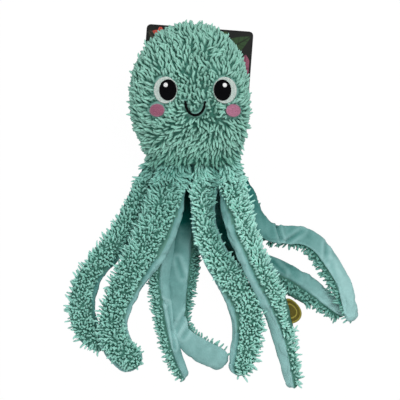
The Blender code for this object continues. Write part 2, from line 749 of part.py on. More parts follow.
def label_hinge(plan):
    """Return the middle of the label's straight edge and the way along it, level."""
    rows = arm_rows(plan)
    reach = LABEL_LENGTH / 2 / ARM_LENGTH
    ahead = edge_at(rows, LABEL_PLACE_SHARE + reach) - edge_at(rows, LABEL_PLACE_SHARE - reach)
    ahead.z = 0.0
    ahead.normalize()
    return edge_at(rows, LABEL_PLACE_SHARE), ahead


def make_label(plan, materials):
    """Make the oval label whose straight inner edge is caught in the arm's outer seam."""
    edge, ahead = label_hinge(plan)
    side = Vector((0, 0, 1)).cross(ahead)
    pivot = make_pivot("label_pivot", edge)
    outline = []
    for i in range(PATCH_SIDES // 2 + 1):
        angle = math.pi * i / (PATCH_SIDES // 2)
        outline.append(ahead * (LABEL_LENGTH / 2 * math.cos(angle))
                       + side * (LABEL_REACH * math.sin(angle)))
    half = Vector((0, 0, LABEL_THICKNESS / 2))
    mesh = loft([[p - half for p in outline], [p + half for p in outline]])
    make_object("side_label", mesh, materials["olive_label"], pivot)


# Whole toy

def clear_scene():
    """Remove every object that the scene starts with."""
    for item in list(bpy.data.objects):
        bpy.data.objects.remove(item, do_unlink=True)


def main():
    """Build the toy."""
    clear_scene()
    materials = make_materials()
    make_card(materials)
    make_tack(materials)
    make_head_covers(materials)
    make_head_filling(materials)
    make_closing_wad(materials)
    make_base_panel(materials)
    make_squeaker(materials)
    make_face(materials)
    for name, plan in ARM_PLANS.items():
        make_arm(name, plan, materials)
    make_label(ARM_PLANS["arm_6"], materials)


main()
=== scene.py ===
"""A plush octopus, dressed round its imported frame.

The frame gives the solids, the bodies and the joints. This script lays the
cloth, the noodle pile, the stitched face, the card's print and the label over
them. Lengths are in metres, +Z points up from the ground, +Y towards the crown
and +X to the right of someone who looks down at the face.
"""

import json
import logging
import math
from collections.abc import Callable, Sequence
from dataclasses import dataclass, field, replace
from enum import Enum

import bmesh
import bpy
import numpy as np
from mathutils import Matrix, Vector, noise


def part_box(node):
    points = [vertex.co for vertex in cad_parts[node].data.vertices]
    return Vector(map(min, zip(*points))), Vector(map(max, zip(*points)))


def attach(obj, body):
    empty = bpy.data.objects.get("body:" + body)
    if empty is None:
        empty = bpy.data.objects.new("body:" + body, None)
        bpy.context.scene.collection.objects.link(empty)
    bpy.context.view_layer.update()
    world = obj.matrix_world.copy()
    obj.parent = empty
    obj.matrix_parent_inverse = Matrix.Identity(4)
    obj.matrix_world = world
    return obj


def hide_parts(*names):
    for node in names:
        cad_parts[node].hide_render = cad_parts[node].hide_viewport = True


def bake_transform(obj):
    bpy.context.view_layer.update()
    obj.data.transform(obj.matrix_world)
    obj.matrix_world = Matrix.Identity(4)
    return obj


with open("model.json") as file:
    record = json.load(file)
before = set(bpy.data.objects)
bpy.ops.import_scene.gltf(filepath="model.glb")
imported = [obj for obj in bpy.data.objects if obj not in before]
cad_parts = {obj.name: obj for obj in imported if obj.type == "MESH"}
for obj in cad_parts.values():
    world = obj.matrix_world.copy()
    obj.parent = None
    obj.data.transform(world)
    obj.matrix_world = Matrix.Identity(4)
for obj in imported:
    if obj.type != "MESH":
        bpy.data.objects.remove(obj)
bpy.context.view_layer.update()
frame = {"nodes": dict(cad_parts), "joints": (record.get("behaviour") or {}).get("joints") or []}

FLOOR_CLEARANCE = 0.0004
MOUTH_INSET = 0.0008
UP = np.array((0.0, 0.0, 1.0))
PILE_FIELDS = ("lay", "pile", "lean", "reach", "shade")

log = logging.getLogger("octopus")


class Slot(Enum):
    """The record's material slots; the patches hold one, which nothing reads."""

    NOODLE = "noodle_cloth"
    PLUSH = "smooth_plush"
    WHITE = "white_thread"
    BLACK = "black_thread"
    PINK = "pink_thread"
    LABEL = "olive_label"


# Numbers and points

def joint_with(key: str, value: str) -> dict:
    """Return the frame's joint whose key has a value."""
    return next(j for j in frame["joints"] if j[key] == value)


def linear(red: float, green: float, blue: float) -> tuple[float, float, float, float]:
    """Turn a display colour into a linear one.

    Args:
        red, green, blue: the colour as a screen shows it, from 0 to 255.

    Returns:
        The linear red, green, blue and an alpha of 1.
    """
    values = [((c / 255.0 + 0.055) / 1.055) ** 2.4 for c in (red, green, blue)]
    return values[0], values[1], values[2], 1.0


def ease(low: float, high: float, value: np.ndarray) -> np.ndarray:
    """Return 0 below low and 1 above high, with a smooth rise between them."""
    t = np.clip((np.asarray(value, float) - low) / (high - low), 0.0, 1.0)
    return t * t * (3.0 - 2.0 * t)


def lengths(vectors: np.ndarray) -> np.ndarray:
    """Return each row's length, kept off zero."""
    return np.maximum(np.linalg.norm(vectors, axis=-1, keepdims=True), 1e-12)


def between(first: np.ndarray, second: np.ndarray, share: np.ndarray) -> np.ndarray:
    """Return rows that lie between two others, by a share for each row."""
    return first * (1.0 - share)[:, None] + second * share[:, None]


def wander(points: np.ndarray, size: float, seed: float) -> np.ndarray:
    """Return smooth noise at each point.

    Args:
        points: places, one a row.
        size: the length over which the noise changes.
        seed: moves the pattern.

    Returns:
        Values between about -1 and 1.
    """
    shift = Vector((seed, -seed, 0.37 * seed))
    return np.array([noise.noise(Vector(p) / size + shift) for p in points])


def segment_distance(points: np.ndarray, start: Sequence[float], end: Sequence[float]) -> np.ndarray:
    """Return each point's distance from a segment, seen from above."""
    a, b = np.array(start, float), np.array(end, float)
    span = b - a
    t = np.clip(((points[:, :2] - a) @ span) / (span @ span), 0.0, 1.0)
    return np.linalg.norm(points[:, :2] - a - t[:, None] * span, axis=1)


# Meshes

def linked(name: str, data: bpy.types.ID) -> bpy.types.Object:
    """Return a new object in the scene that holds a mesh, a camera or a lamp."""
    made = bpy.data.objects.new(name, data)
    bpy.context.collection.objects.link(made)
    return made


def make_object(name: str, vertices: np.ndarray, faces: Sequence[Sequence[int]],
                materials: Sequence[bpy.types.Material]) -> bpy.types.Object:
    """Make a smooth-shaded mesh object at the origin.

    Args:
        name: the piece's name.
        vertices: its points, one a row.
        faces: the corners of each face.
        materials: its materials, in slot order.

    Returns:
        The linked object.
    """
    mesh = bpy.data.meshes.new(name)
    mesh.from_pydata([tuple(v) for v in vertices], [], [tuple(f) for f in faces])
    mesh.validate()
    mesh.shade_smooth()
    for material in materials:
        mesh.materials.append(material)
    return linked(name, mesh)


def tube_faces(rows: int, sides: int) -> list[tuple[int, ...]]:
    """Return the faces of a closed tube of rows of points, its ends capped by fans.

    The point before the rows and the point after them close the ends.
    """
    faces = []
    for i in range(rows - 1):
        for j in range(sides):
            k = (j + 1) % sides
            low, high = 1 + i * sides, 1 + (i + 1) * sides
            faces.append((low + j, low + k, high + k, high + j))
    last = 1 + (rows - 1) * sides
    for j in range(sides):
        k = (j + 1) % sides
        faces.append((0, 1 + k, 1 + j))
        faces.append((rows * sides + 1, last + j, last + k))
    return faces


def store(piece: bpy.types.Object, name: str, values: np.ndarray) -> None:
    """Store a number or a vector on each vertex of a piece."""
    values = np.asarray(values, np.float32)
    kind, key = ("FLOAT_VECTOR", "vector") if values.ndim == 2 else ("FLOAT", "value")
    attribute = piece.data.attributes.new(name, kind, "POINT")
    attribute.data.foreach_set(key, values.ravel())


def points_of(piece: bpy.types.Object, key: str = "co") -> np.ndarray:
    """Return a piece's vertices, or with the key normal their normals, one a row."""
    flat = np.empty(len(piece.data.vertices) * 3, np.float32)
    piece.data.vertices.foreach_get(key, flat)
    return flat.reshape(-1, 3).astype(float)


def move_points(piece: bpy.types.Object, points: np.ndarray) -> None:
    """Put a piece's vertices in new places."""
    piece.data.vertices.foreach_set("co", points.astype(np.float32).ravel())
    piece.data.update()


def drop_pile_fields(piece: bpy.types.Object) -> None:
    """Remove the values that only the pile needed from a skin."""
    for name in PILE_FIELDS:
        piece.data.attributes.remove(piece.data.attributes[name])


def face_outwards(piece: bpy.types.Object) -> None:
    """Turn a closed piece's faces over if they point inwards."""
    mesh = piece.data
    mesh.calc_loop_triangles()
    corners = np.array([t.vertices for t in mesh.loop_triangles])
    p = points_of(piece)
    a, b, c = p[corners[:, 0]], p[corners[:, 1]], p[corners[:, 2]]
    if np.sum(a * np.cross(b, c)) < 0.0:
        mesh.flip_normals()


def joined(name: str, pieces: Sequence[bpy.types.Object]) -> bpy.types.Object:
    """Join plain meshes into one object.

    Args:
        name: the new piece's name.
        pieces: the objects to join; they are removed.

    Returns:
        The joined piece, with every material of the pieces.
    """
    whole = bmesh.new()
    materials = []
    for piece in pieces:
        turn = []
        for material in piece.data.materials:
            if material not in materials:
                materials.append(material)
            turn.append(materials.index(material))
        for face in piece.data.polygons:
            face.material_index = turn[face.material_index]
        whole.from_mesh(piece.data)
        bpy.data.objects.remove(piece)
    mesh = bpy.data.meshes.new(name)
    whole.to_mesh(mesh)
    whole.free()
    mesh.shade_smooth()
    for material in materials:
        mesh.materials.append(material)
    return linked(name, mesh)


# Cloth

@dataclass(frozen=True)
class Stuffing:
    """How a cloth fills out and puckers between the parts that hold it."""

    pressure: float = 4.0
    growth: float = 0.05
    bending: float = 0.05
    tension: float = 12.0
    weight: float = 0.05
    cap: float = 0.0016
    frames: int = 20
    quality: int = 4

    def fill(self, piece: bpy.types.Object, held: np.ndarray) -> None:
        """Run the simulation and keep its result in the mesh.

        Args:
            piece: a closed skin.
            held: how firmly each vertex stays in its place, from 0 to 1.
        """
        group = piece.vertex_groups.new(name="held")
        for index, share in enumerate(held):
            group.add([index], float(share), "REPLACE")
        cloth = piece.modifiers.new("cloth", "CLOTH")
        settings = cloth.settings
        settings.quality = self.quality
        settings.mass = self.weight
        settings.tension_stiffness = settings.compression_stiffness = self.tension
        settings.shear_stiffness = self.tension / 3
        settings.bending_stiffness = self.bending
        settings.use_pressure = True
        settings.uniform_pressure_force = self.pressure
        settings.shrink_min = -self.growth
        settings.vertex_group_mass = group.name
        settings.effector_weights.gravity = 0.0
        cloth.collision_settings.use_collision = False
        cloth.point_cache.frame_start, cloth.point_cache.frame_end = 1, self.frames
        for step in range(1, self.frames + 1):
            bpy.context.scene.frame_set(step)
        before = points_of(piece)
        after = points_of(piece.evaluated_get(bpy.context.evaluated_depsgraph_get()))
        piece.modifiers.remove(cloth)
        piece.vertex_groups.remove(group)
        bpy.context.scene.frame_set(1)
        move = np.nan_to_num(after - before) * (1.0 - held)[:, None]
        move *= np.minimum(1.0, self.cap / lengths(move))
        move_points(piece, before + move)
        log.info("%s: cloth moved by up to %.1f mm", piece.name, 1000.0 * float(np.max(lengths(move))))


# Node trees

class Wiring:
    """Adds nodes to a tree and links them."""

    def __init__(self, tree: bpy.types.NodeTree) -> None:
        """Take the tree to be wired."""
        self.tree = tree

    def node(self, kind: str, inputs: dict | None = None, **settings: object) -> bpy.types.Node:
        """Add a node.

        Args:
            kind: Blender's name of the node.
            inputs: a value or an output socket for each input, by name or number.
            settings: the node's own properties.

        Returns:
            The node.
        """
        made = self.tree.nodes.new(kind)
        for key, value in settings.items():
            setattr(made, key, value)
        for key, value in (inputs or {}).items():
            self.feed(made.inputs[key], value)
        return made

    def feed(self, socket: bpy.types.NodeSocket, value: object) -> None:
        """Link an output to a socket, or set its value."""
        if isinstance(value, bpy.types.NodeSocket):
            self.tree.links.new(value, socket)
        else:
            socket.default_value = value

    def math(self, operation: str, *values: object) -> bpy.types.NodeSocket:
        """Return the result of a Math node."""
        made = self.node("ShaderNodeMath", dict(enumerate(values)), operation=operation)
        return made.outputs[0]

    def vector(self, operation: str, *values: object) -> bpy.types.NodeSocket:
        """Return the vector result of a Vector Math node; SCALE takes a vector and a number."""
        made = self.node("ShaderNodeVectorMath", operation=operation)
        if operation == "SCALE":
            self.feed(made.inputs[0], values[0])
            self.feed(made.inputs["Scale"], values[1])
        else:
            for socket, value in zip(made.inputs, values):
                self.feed(socket, value)
        return made.outputs[0]

    def mix(self, share: object, first: object, second: object) -> bpy.types.NodeSocket:
        """Return a colour between two, clamped at both."""
        made = self.node("ShaderNodeMix", {0: share, 6: first, 7: second}, data_type="RGBA",
                         clamp_factor=True)
        return made.outputs[2]

    def group(self, name: str, inputs: dict) -> bpy.types.Node:
        """Add one of the shared shader groups."""
        made = self.node("ShaderNodeGroup", node_tree=GROUPS[name])
        for key, value in inputs.items():
            self.feed(made.inputs[key], value)
        return made

    def named(self, name: str, kind: str) -> bpy.types.NodeSocket:
        """Return a stored attribute inside a geometry tree."""
        return self.node("GeometryNodeInputNamedAttribute", {"Name": name}, data_type=kind).outputs[0]

    def keep(self, geometry: object, name: str, kind: str, value: object) -> bpy.types.NodeSocket:
        """Store an attribute on the points that flow through a geometry tree."""
        made = self.node("GeometryNodeStoreNamedAttribute", data_type=kind, domain="POINT")
        self.feed(made.inputs["Geometry"], geometry)
        self.feed(made.inputs["Name"], name)
        self.feed(made.inputs["Value"], value)
        return made.outputs[0]


def new_tree(name: str, kind: str, inputs: Sequence[tuple[str, str, object]],
             outputs: Sequence[tuple[str, str]]) -> tuple[Wiring, bpy.types.Node, bpy.types.Node]:
    """Start a node group with named inputs and outputs.

    Args:
        name: the group's name.
        kind: GeometryNodeTree or ShaderNodeTree.
        inputs: each input's name, socket type and default, or None.
        outputs: each output's name and socket type.

    Returns:
        The wiring, the input node and the output node.
    """
    tree = bpy.data.node_groups.new(name, kind)
    for label, socket, default in inputs:
        made = tree.interface.new_socket(label, in_out="INPUT", socket_type=socket)
        if default is not None:
            made.default_value = default
    for label, socket in outputs:
        tree.interface.new_socket(label, in_out="OUTPUT", socket_type=socket)
    wiring = Wiring(tree)
    return wiring, wiring.node("NodeGroupInput"), wiring.node("NodeGroupOutput")


def grow(name: str, ground: bpy.types.Object, tree: bpy.types.NodeTree,
         values: dict[str, object]) -> bpy.types.Object:
    """Run a geometry tree on an object and keep its result as a plain mesh.

    Args:
        name: the new piece's name.
        ground: the object that carries the tree's attributes.
        tree: the geometry tree.
        values: a value for each of the tree's inputs, by name.

    Returns:
        The new piece, at the origin.
    """
    modifier = ground.modifiers.new(name, "NODES")
    modifier.node_group = tree
    for item in tree.interface.items_tree:
        if item.in_out == "INPUT" and item.name in values:
            modifier[item.identifier] = values[item.name]
    bpy.context.view_layer.update()
    result = ground.evaluated_get(bpy.context.evaluated_depsgraph_get())
    mesh = bpy.data.meshes.new_from_object(result)
    ground.modifiers.remove(modifier)
    mesh.name = name
    return linked(name, mesh)


def start_lines(w: Wiring, points: bpy.types.NodeSocket,
                count: bpy.types.NodeSocket) -> bpy.types.NodeSocket:
    """Put a straight line of some points on each point of a geometry tree."""
    line = w.node("GeometryNodeCurvePrimitiveLine", {"End": (0.0, 0.0, 1.0)})
    line = w.node("GeometryNodeResampleCurve", {"Curve": line.outputs[0], "Count": count})
    lines = w.node("GeometryNodeInstanceOnPoints", {"Points": points, "Instance": line.outputs[0]})
    return w.node("GeometryNodeRealizeInstances", {"Geometry": lines.outputs[0]}).outputs[0]


def finish_tubes(w: Wiring, start: bpy.types.Node, end: bpy.types.Node, curve: bpy.types.NodeSocket,
                 radius: bpy.types.NodeSocket) -> bpy.types.NodeTree:
    """Sweep a round section along a tree's curves, give the tubes their finish and end the tree.

    Args:
        w: the tree's wiring.
        start: its input node, with Sides and Finish.
        end: its output node.
        curve: the curves.
        radius: the section's radius along them.

    Returns:
        The finished tree.
    """
    given = start.outputs
    profile = w.node("GeometryNodeCurvePrimitiveCircle", {"Resolution": given["Sides"], "Radius": 1.0})
    tube = w.node("GeometryNodeCurveToMesh", {"Curve": curve, "Profile Curve": profile.outputs[0],
                                              "Scale": radius, "Fill Caps": True})
    tube = w.node("GeometryNodeRealizeInstances", {"Geometry": tube.outputs[0]})
    tube = w.node("GeometryNodeSetShadeSmooth", {"Geometry": tube.outputs[0]})
    tube = w.node("GeometryNodeSetMaterial", {"Geometry": tube.outputs[0], "Material": given["Finish"]})
    w.feed(end.inputs[0], tube.outputs[0])
    return w.tree


def strand_tree() -> bpy.types.NodeTree:
    """Build the tree that grows bent noodles on a skin.

    The skin's vertices hold lay, the way the noodles point along the cloth;
    pile, how dense they are; lean, how far they lie over; and reach, a factor
    on their length.
    """
    w, start, end = new_tree("noodle_pile", "GeometryNodeTree", (
        ("Skin", "NodeSocketGeometry", None),
        ("Spacing", "NodeSocketFloat", 0.003),
        ("Length", "NodeSocketFloat", 0.010),
        ("Radius", "NodeSocketFloat", 0.0011),
        ("Root Depth", "NodeSocketFloat", 0.0008),
        ("Stray", "NodeSocketFloat", 0.3),
        ("Curl", "NodeSocketFloat", 0.3),
        ("Wave", "NodeSocketFloat", 0.05),
        ("Droop", "NodeSocketFloat", 0.1),
        ("Lowest", "NodeSocketFloat", 0.0),
        ("Points", "NodeSocketInt", 6),
        ("Sides", "NodeSocketInt", 5),
        ("Seed", "NodeSocketInt", 1),
        ("Finish", "NodeSocketMaterial", None),
    ), (("Pile", "NodeSocketGeometry"),))
    given = start.outputs
    seed = given["Seed"]
    scatter = w.node("GeometryNodeDistributePointsOnFaces", {
        "Mesh": given["Skin"], "Distance Min": given["Spacing"],
        "Density Max": w.math("DIVIDE", 4.0, w.math("MULTIPLY", given["Spacing"], given["Spacing"])),
        "Density Factor": w.named("pile", "FLOAT"), "Seed": seed}, distribute_method="POISSON")
    points = w.keep(scatter.outputs["Points"], "up", "FLOAT_VECTOR", scatter.outputs["Normal"])
    points = w.keep(points, "root", "FLOAT_VECTOR", w.node("GeometryNodeInputPosition").outputs[0])
    stray = w.node("FunctionNodeRandomValue",
                   {"Min": (-1.0, -1.0, -1.0), "Max": (1.0, 1.0, 1.0), "Seed": seed},
                   data_type="FLOAT_VECTOR")
    points = w.keep(points, "stray", "FLOAT_VECTOR", stray.outputs["Value"])
    shade = w.node("FunctionNodeRandomValue", data_type="FLOAT")
    w.feed(shade.inputs["Seed"], w.math("ADD", seed, 7.0))
    points = w.keep(points, "strand", "FLOAT", shade.outputs[1])
    strands = start_lines(w, points, given["Points"])
    plain = w.node("GeometryNodeSplineParameter").outputs["Factor"]
    along = w.math("SUBTRACT", 1.0, w.math("POWER", w.math("SUBTRACT", 1.0, plain), 1.5))
    bend = w.math("MULTIPLY", along, along)
    up, lay = w.named("up", "FLOAT_VECTOR"), w.named("lay", "FLOAT_VECTOR")
    strand, lean = w.named("strand", "FLOAT"), w.named("lean", "FLOAT")
    off = w.named("stray", "FLOAT_VECTOR")
    length = w.math("MULTIPLY", w.math("MULTIPLY", given["Length"], w.named("reach", "FLOAT")),
                    w.math("MULTIPLY_ADD", strand, 0.5, 0.75))
    ahead = w.vector("ADD", w.vector("SCALE", up, w.math("COSINE", lean)),
                     w.vector("SCALE", lay, w.math("SINE", lean)))
    ahead = w.vector("NORMALIZE", w.vector("ADD", ahead, w.vector("SCALE", off, given["Stray"])))
    side = w.vector("NORMALIZE", w.vector("CROSS_PRODUCT", ahead, w.vector("ADD", off, (0.01, 0.02, 0.03))))
    curl = w.vector("SCALE", side, w.math("MULTIPLY", given["Curl"], w.math("SUBTRACT", strand, 0.4)))
    curl = w.vector("ADD", curl, w.vector("SCALE", (0.0, 0.0, -1.0), given["Droop"]))
    phase = w.math("MULTIPLY", strand, 40.0)
    ripple = w.math("SUBTRACT", w.math("SINE", w.math("MULTIPLY_ADD", along, 6.0, phase)),
                    w.math("SINE", phase))
    ripple = w.vector("SCALE", side, w.math("MULTIPLY", ripple, given["Wave"]))
    place = w.vector("ADD", w.vector("SCALE", ahead, along), w.vector("SCALE", curl, bend))
    place = w.vector("ADD", place, ripple)
    place = w.vector("ADD", w.named("root", "FLOAT_VECTOR"), w.vector("SCALE", place, length))
    place = w.vector("SUBTRACT", place, w.vector("SCALE", up, given["Root Depth"]))
    split = w.node("ShaderNodeSeparateXYZ", {0: place})
    floor = w.math("ADD", given["Lowest"], w.math("MULTIPLY", given["Radius"], 1.15))
    merged = w.node("ShaderNodeCombineXYZ", {0: split.outputs[0], 1: split.outputs[1],
                                             2: w.math("MAXIMUM", split.outputs[2], floor)})
    strands = w.node("GeometryNodeSetPosition", {"Geometry": strands, "Position": merged.outputs[0]})
    strands = w.keep(strands.outputs[0], "along", "FLOAT", along)
    past = w.math("DIVIDE", w.math("MAXIMUM", w.math("SUBTRACT", along, 0.84), 0.0), 0.17)
    taper = w.math("SQRT", w.math("SUBTRACT", 1.0, w.math("MULTIPLY", past, past)))
    width = w.math("MULTIPLY_ADD", w.math("FRACT", w.math("MULTIPLY", strand, 7.3)), 0.3, 0.85)
    radius = w.math("MULTIPLY", w.math("MULTIPLY", given["Radius"], taper), width)
    return finish_tubes(w, start, end, strands, radius)


def stitch_tree() -> bpy.types.NodeTree:
    """Build the tree that lays a thread over each point of a row of stitches.

    The points hold span, the stitch from end to end, and rise, how far and
    which way its middle stands up.
    """
    w, start, end = new_tree("stitches", "GeometryNodeTree", (
        ("Row", "NodeSocketGeometry", None),
        ("Radius", "NodeSocketFloat", 0.0003),
        ("Points", "NodeSocketInt", 5),
        ("Sides", "NodeSocketInt", 6),
        ("Finish", "NodeSocketMaterial", None),
    ), (("Stitches", "NodeSocketGeometry"),))
    given = start.outputs
    points = w.node("GeometryNodeMeshToPoints", {"Mesh": given["Row"]}).outputs[0]
    points = w.keep(points, "root", "FLOAT_VECTOR", w.node("GeometryNodeInputPosition").outputs[0])
    threads = start_lines(w, points, given["Points"])
    along = w.node("GeometryNodeSplineParameter").outputs["Factor"]
    middle = w.math("SUBTRACT", along, 0.5)
    arch = w.math("MULTIPLY_ADD", w.math("MULTIPLY", middle, middle), -4.0, 1.0)
    place = w.vector("ADD", w.vector("SCALE", w.named("span", "FLOAT_VECTOR"), middle),
                     w.vector("SCALE", w.named("rise", "FLOAT_VECTOR"), arch))
    place = w.vector("ADD", w.named("root", "FLOAT_VECTOR"), place)
    threads = w.node("GeometryNodeSetPosition", {"Geometry": threads, "Position": place})
    taper = w.math("MULTIPLY_ADD", w.math("POWER", w.math("ABSOLUTE", w.math("MULTIPLY", middle, 2.0)), 6.0),
                   -0.5, 1.0)
    return finish_tubes(w, start, end, threads.outputs[0], w.math("MULTIPLY", given["Radius"], taper))


# Shader groups

def nap_group() -> bpy.types.NodeTree:
    """Build the group for brushed pile: a soft tone in patches and a fine height."""
    w, start, end = new_tree("brushed_nap", "ShaderNodeTree", (
        ("Patch Scale", "NodeSocketFloat", 60.0),
        ("Fibre Scale", "NodeSocketFloat", 1800.0),
    ), (("Tone", "NodeSocketFloat"), ("Height", "NodeSocketFloat")))
    place = w.node("ShaderNodeTexCoord").outputs["Object"]
    patch = w.node("ShaderNodeTexNoise", {"Vector": place, "Scale": start.outputs["Patch Scale"],
                                          "Detail": 3.0, "Roughness": 0.6})
    fibre = w.node("ShaderNodeTexNoise", {"Vector": place, "Scale": start.outputs["Fibre Scale"],
                                          "Detail": 2.0})
    w.feed(end.inputs["Tone"], w.math("ADD", w.math("MULTIPLY", patch.outputs["Fac"], 0.7),
                                      w.math("MULTIPLY", fibre.outputs["Fac"], 0.3)))
    w.feed(end.inputs["Height"], w.math("ADD", w.math("MULTIPLY", patch.outputs["Fac"], 0.3),
                                        w.math("MULTIPLY", fibre.outputs["Fac"], 0.7)))
    return w.tree


def thread_group() -> bpy.types.NodeTree:
    """Build the group for laid threads: rows of round threads as a tone and a height; the tone is painted
    shade, darker between the rows and lighter on their crests, with a random fibre tone.
    """
    w, start, end = new_tree("laid_threads", "ShaderNodeTree", (
        ("Turn", "NodeSocketFloat", 0.0),
        ("Pitch", "NodeSocketFloat", 0.0005),
    ), (("Tone", "NodeSocketFloat"), ("Height", "NodeSocketFloat")))
    place = w.node("ShaderNodeTexCoord").outputs["Object"]
    turned = w.node("ShaderNodeVectorRotate", {"Vector": place, "Angle": start.outputs["Turn"]},
                    rotation_type="Z_AXIS")
    across = w.node("ShaderNodeSeparateXYZ", {0: turned.outputs[0]}).outputs[0]
    bump = w.math("ABSOLUTE", w.math("SINE", w.math("DIVIDE", w.math("MULTIPLY", across, math.pi),
                                                    start.outputs["Pitch"])))
    fibre = w.node("ShaderNodeTexNoise", {"Vector": place, "Scale": 900.0, "Detail": 2.0})
    w.feed(end.inputs["Tone"], w.math("MULTIPLY_ADD", bump, 0.5,
                                      w.math("MULTIPLY", fibre.outputs["Fac"], 0.5)))
    w.feed(end.inputs["Height"], bump)
    return w.tree


def petal_group() -> bpy.types.NodeTree:
    """Build the group for a printed leaf: a pointed oval's mask and its vein."""
    w, start, end = new_tree("printed_petal", "ShaderNodeTree", (
        ("Place", "NodeSocketVector", None),
        ("Root", "NodeSocketVector", None),
        ("Heading", "NodeSocketFloat", 0.0),
        ("Length", "NodeSocketFloat", 0.03),
        ("Width", "NodeSocketFloat", 0.01),
    ), (("Mask", "NodeSocketFloat"), ("Vein", "NodeSocketFloat")))
    given = start.outputs
    off = w.vector("SUBTRACT", given["Place"], given["Root"])
    back = w.math("MULTIPLY", given["Heading"], -1.0)
    turned = w.node("ShaderNodeVectorRotate", {"Vector": off, "Angle": back}, rotation_type="Z_AXIS")
    split = w.node("ShaderNodeSeparateXYZ", {0: turned.outputs[0]})
    ahead = w.math("DIVIDE", split.outputs[0], given["Length"])
    across = w.math("DIVIDE", w.math("ABSOLUTE", split.outputs[1]), w.math("MULTIPLY", given["Width"], 0.5))
    rounded = w.math("POWER", w.math("MAXIMUM", ahead, 0.0), 0.8)
    belly = w.math("SINE", w.math("MULTIPLY", rounded, math.pi))
    inside = w.math("MULTIPLY", w.math("GREATER_THAN", ahead, 0.0), w.math("LESS_THAN", ahead, 1.0))
    edge = w.math("MULTIPLY", w.math("SUBTRACT", belly, across), 8.0)
    edge = w.math("MINIMUM", w.math("MAXIMUM", edge, 0.0), 1.0)
    w.feed(end.inputs["Mask"], w.math("MULTIPLY", inside, edge))
    slanted = w.math("SUBTRACT", ahead, w.math("MULTIPLY", across, 0.2))
    ribs = w.math("SINE", w.math("MULTIPLY", slanted, 42.0))
    vein = w.math("MAXIMUM", w.math("LESS_THAN", across, 0.07),
                  w.math("MULTIPLY", w.math("GREATER_THAN", ribs, 0.8), 0.5))
    w.feed(end.inputs["Vein"], vein)
    return w.tree


GROUPS: dict[str, bpy.types.NodeTree] = {}


def new_material(name: str) -> tuple[bpy.types.Material, Wiring, bpy.types.Node]:
    """Start a material.

    Args:
        name: the material's name.

    Returns:
        The material, its wiring and its Principled shader.
    """
    material = bpy.data.materials.new(name)
    material.use_nodes = True
    return material, Wiring(material.node_tree), material.node_tree.nodes["Principled BSDF"]


# Finishes

def coat(w: Wiring, shader: bpy.types.Node, colour: bpy.types.NodeSocket, height: bpy.types.NodeSocket,
         distance: float, constants: dict[str, float]) -> None:
    """Feed a shader's colour and bump, and set its constants.

    Args:
        w: the material's wiring.
        shader: its Principled shader.
        colour: the surface colour.
        height: the relief, from 0 to 1.
        distance: the relief's depth in metres.
        constants: a value for each further socket, by name.
    """
    bump = w.node("ShaderNodeBump", {"Height": height, "Distance": distance})
    w.feed(shader.inputs["Base Color"], colour)
    w.feed(shader.inputs["Normal"], bump.outputs[0])
    for name, value in constants.items():
        shader.inputs[name].default_value = value


@dataclass(frozen=True)
class NoodleFinish:
    """Looped yarn, with painted shade: darker towards the root where it leaves the cloth and lighter at its
    tips, and darker and richer where the stored shade is high.
    """

    name: str = "noodle_yarn"
    tip: tuple = (156, 210, 194)
    root: tuple = (40, 104, 88)
    tip_end: float = 0.75
    strand_spread: float = 0.12
    shade_depth: float = 0.62
    roughness: float = 0.85
    sheen: float = 0.06
    specular: float = 0.08
    fuzz_scale: float = 2600.0
    fuzz_height: float = 0.0002

    def build(self) -> bpy.types.Material:
        """Return the material."""
        material, w, shader = new_material(self.name)
        along = w.node("ShaderNodeAttribute", attribute_name="along").outputs["Fac"]
        strand = w.node("ShaderNodeAttribute", attribute_name="strand").outputs["Fac"]
        # Painted shade: each strand darkens from its tip towards its root, where the pile shades it.
        ramp = w.node("ShaderNodeMapRange", {"Value": along, "From Min": 0.0, "From Max": self.tip_end},
                      interpolation_type="SMOOTHSTEP")
        colour = w.mix(ramp.outputs[0], linear(*self.root), linear(*self.tip))
        bright = w.math("MULTIPLY_ADD", strand, 2.0 * self.strand_spread, 1.0 - self.strand_spread)
        # Painted shade: the stored shade darkens the yarn and makes it richer.
        shade = w.node("ShaderNodeAttribute", attribute_name="shade").outputs["Fac"]
        bright = w.math("MULTIPLY", bright, w.math("MULTIPLY_ADD", shade, -self.shade_depth, 1.0))
        rich = w.math("MULTIPLY_ADD", shade, 0.4, 1.0)
        toned = w.node("ShaderNodeHueSaturation", {"Color": colour, "Value": bright, "Saturation": rich})
        nap = w.group("nap", {"Fibre Scale": self.fuzz_scale})
        coat(w, shader, toned.outputs[0], nap.outputs["Height"], self.fuzz_height, {
            "Roughness": self.roughness, "Sheen Weight": self.sheen, "Specular IOR Level": self.specular})
        return material


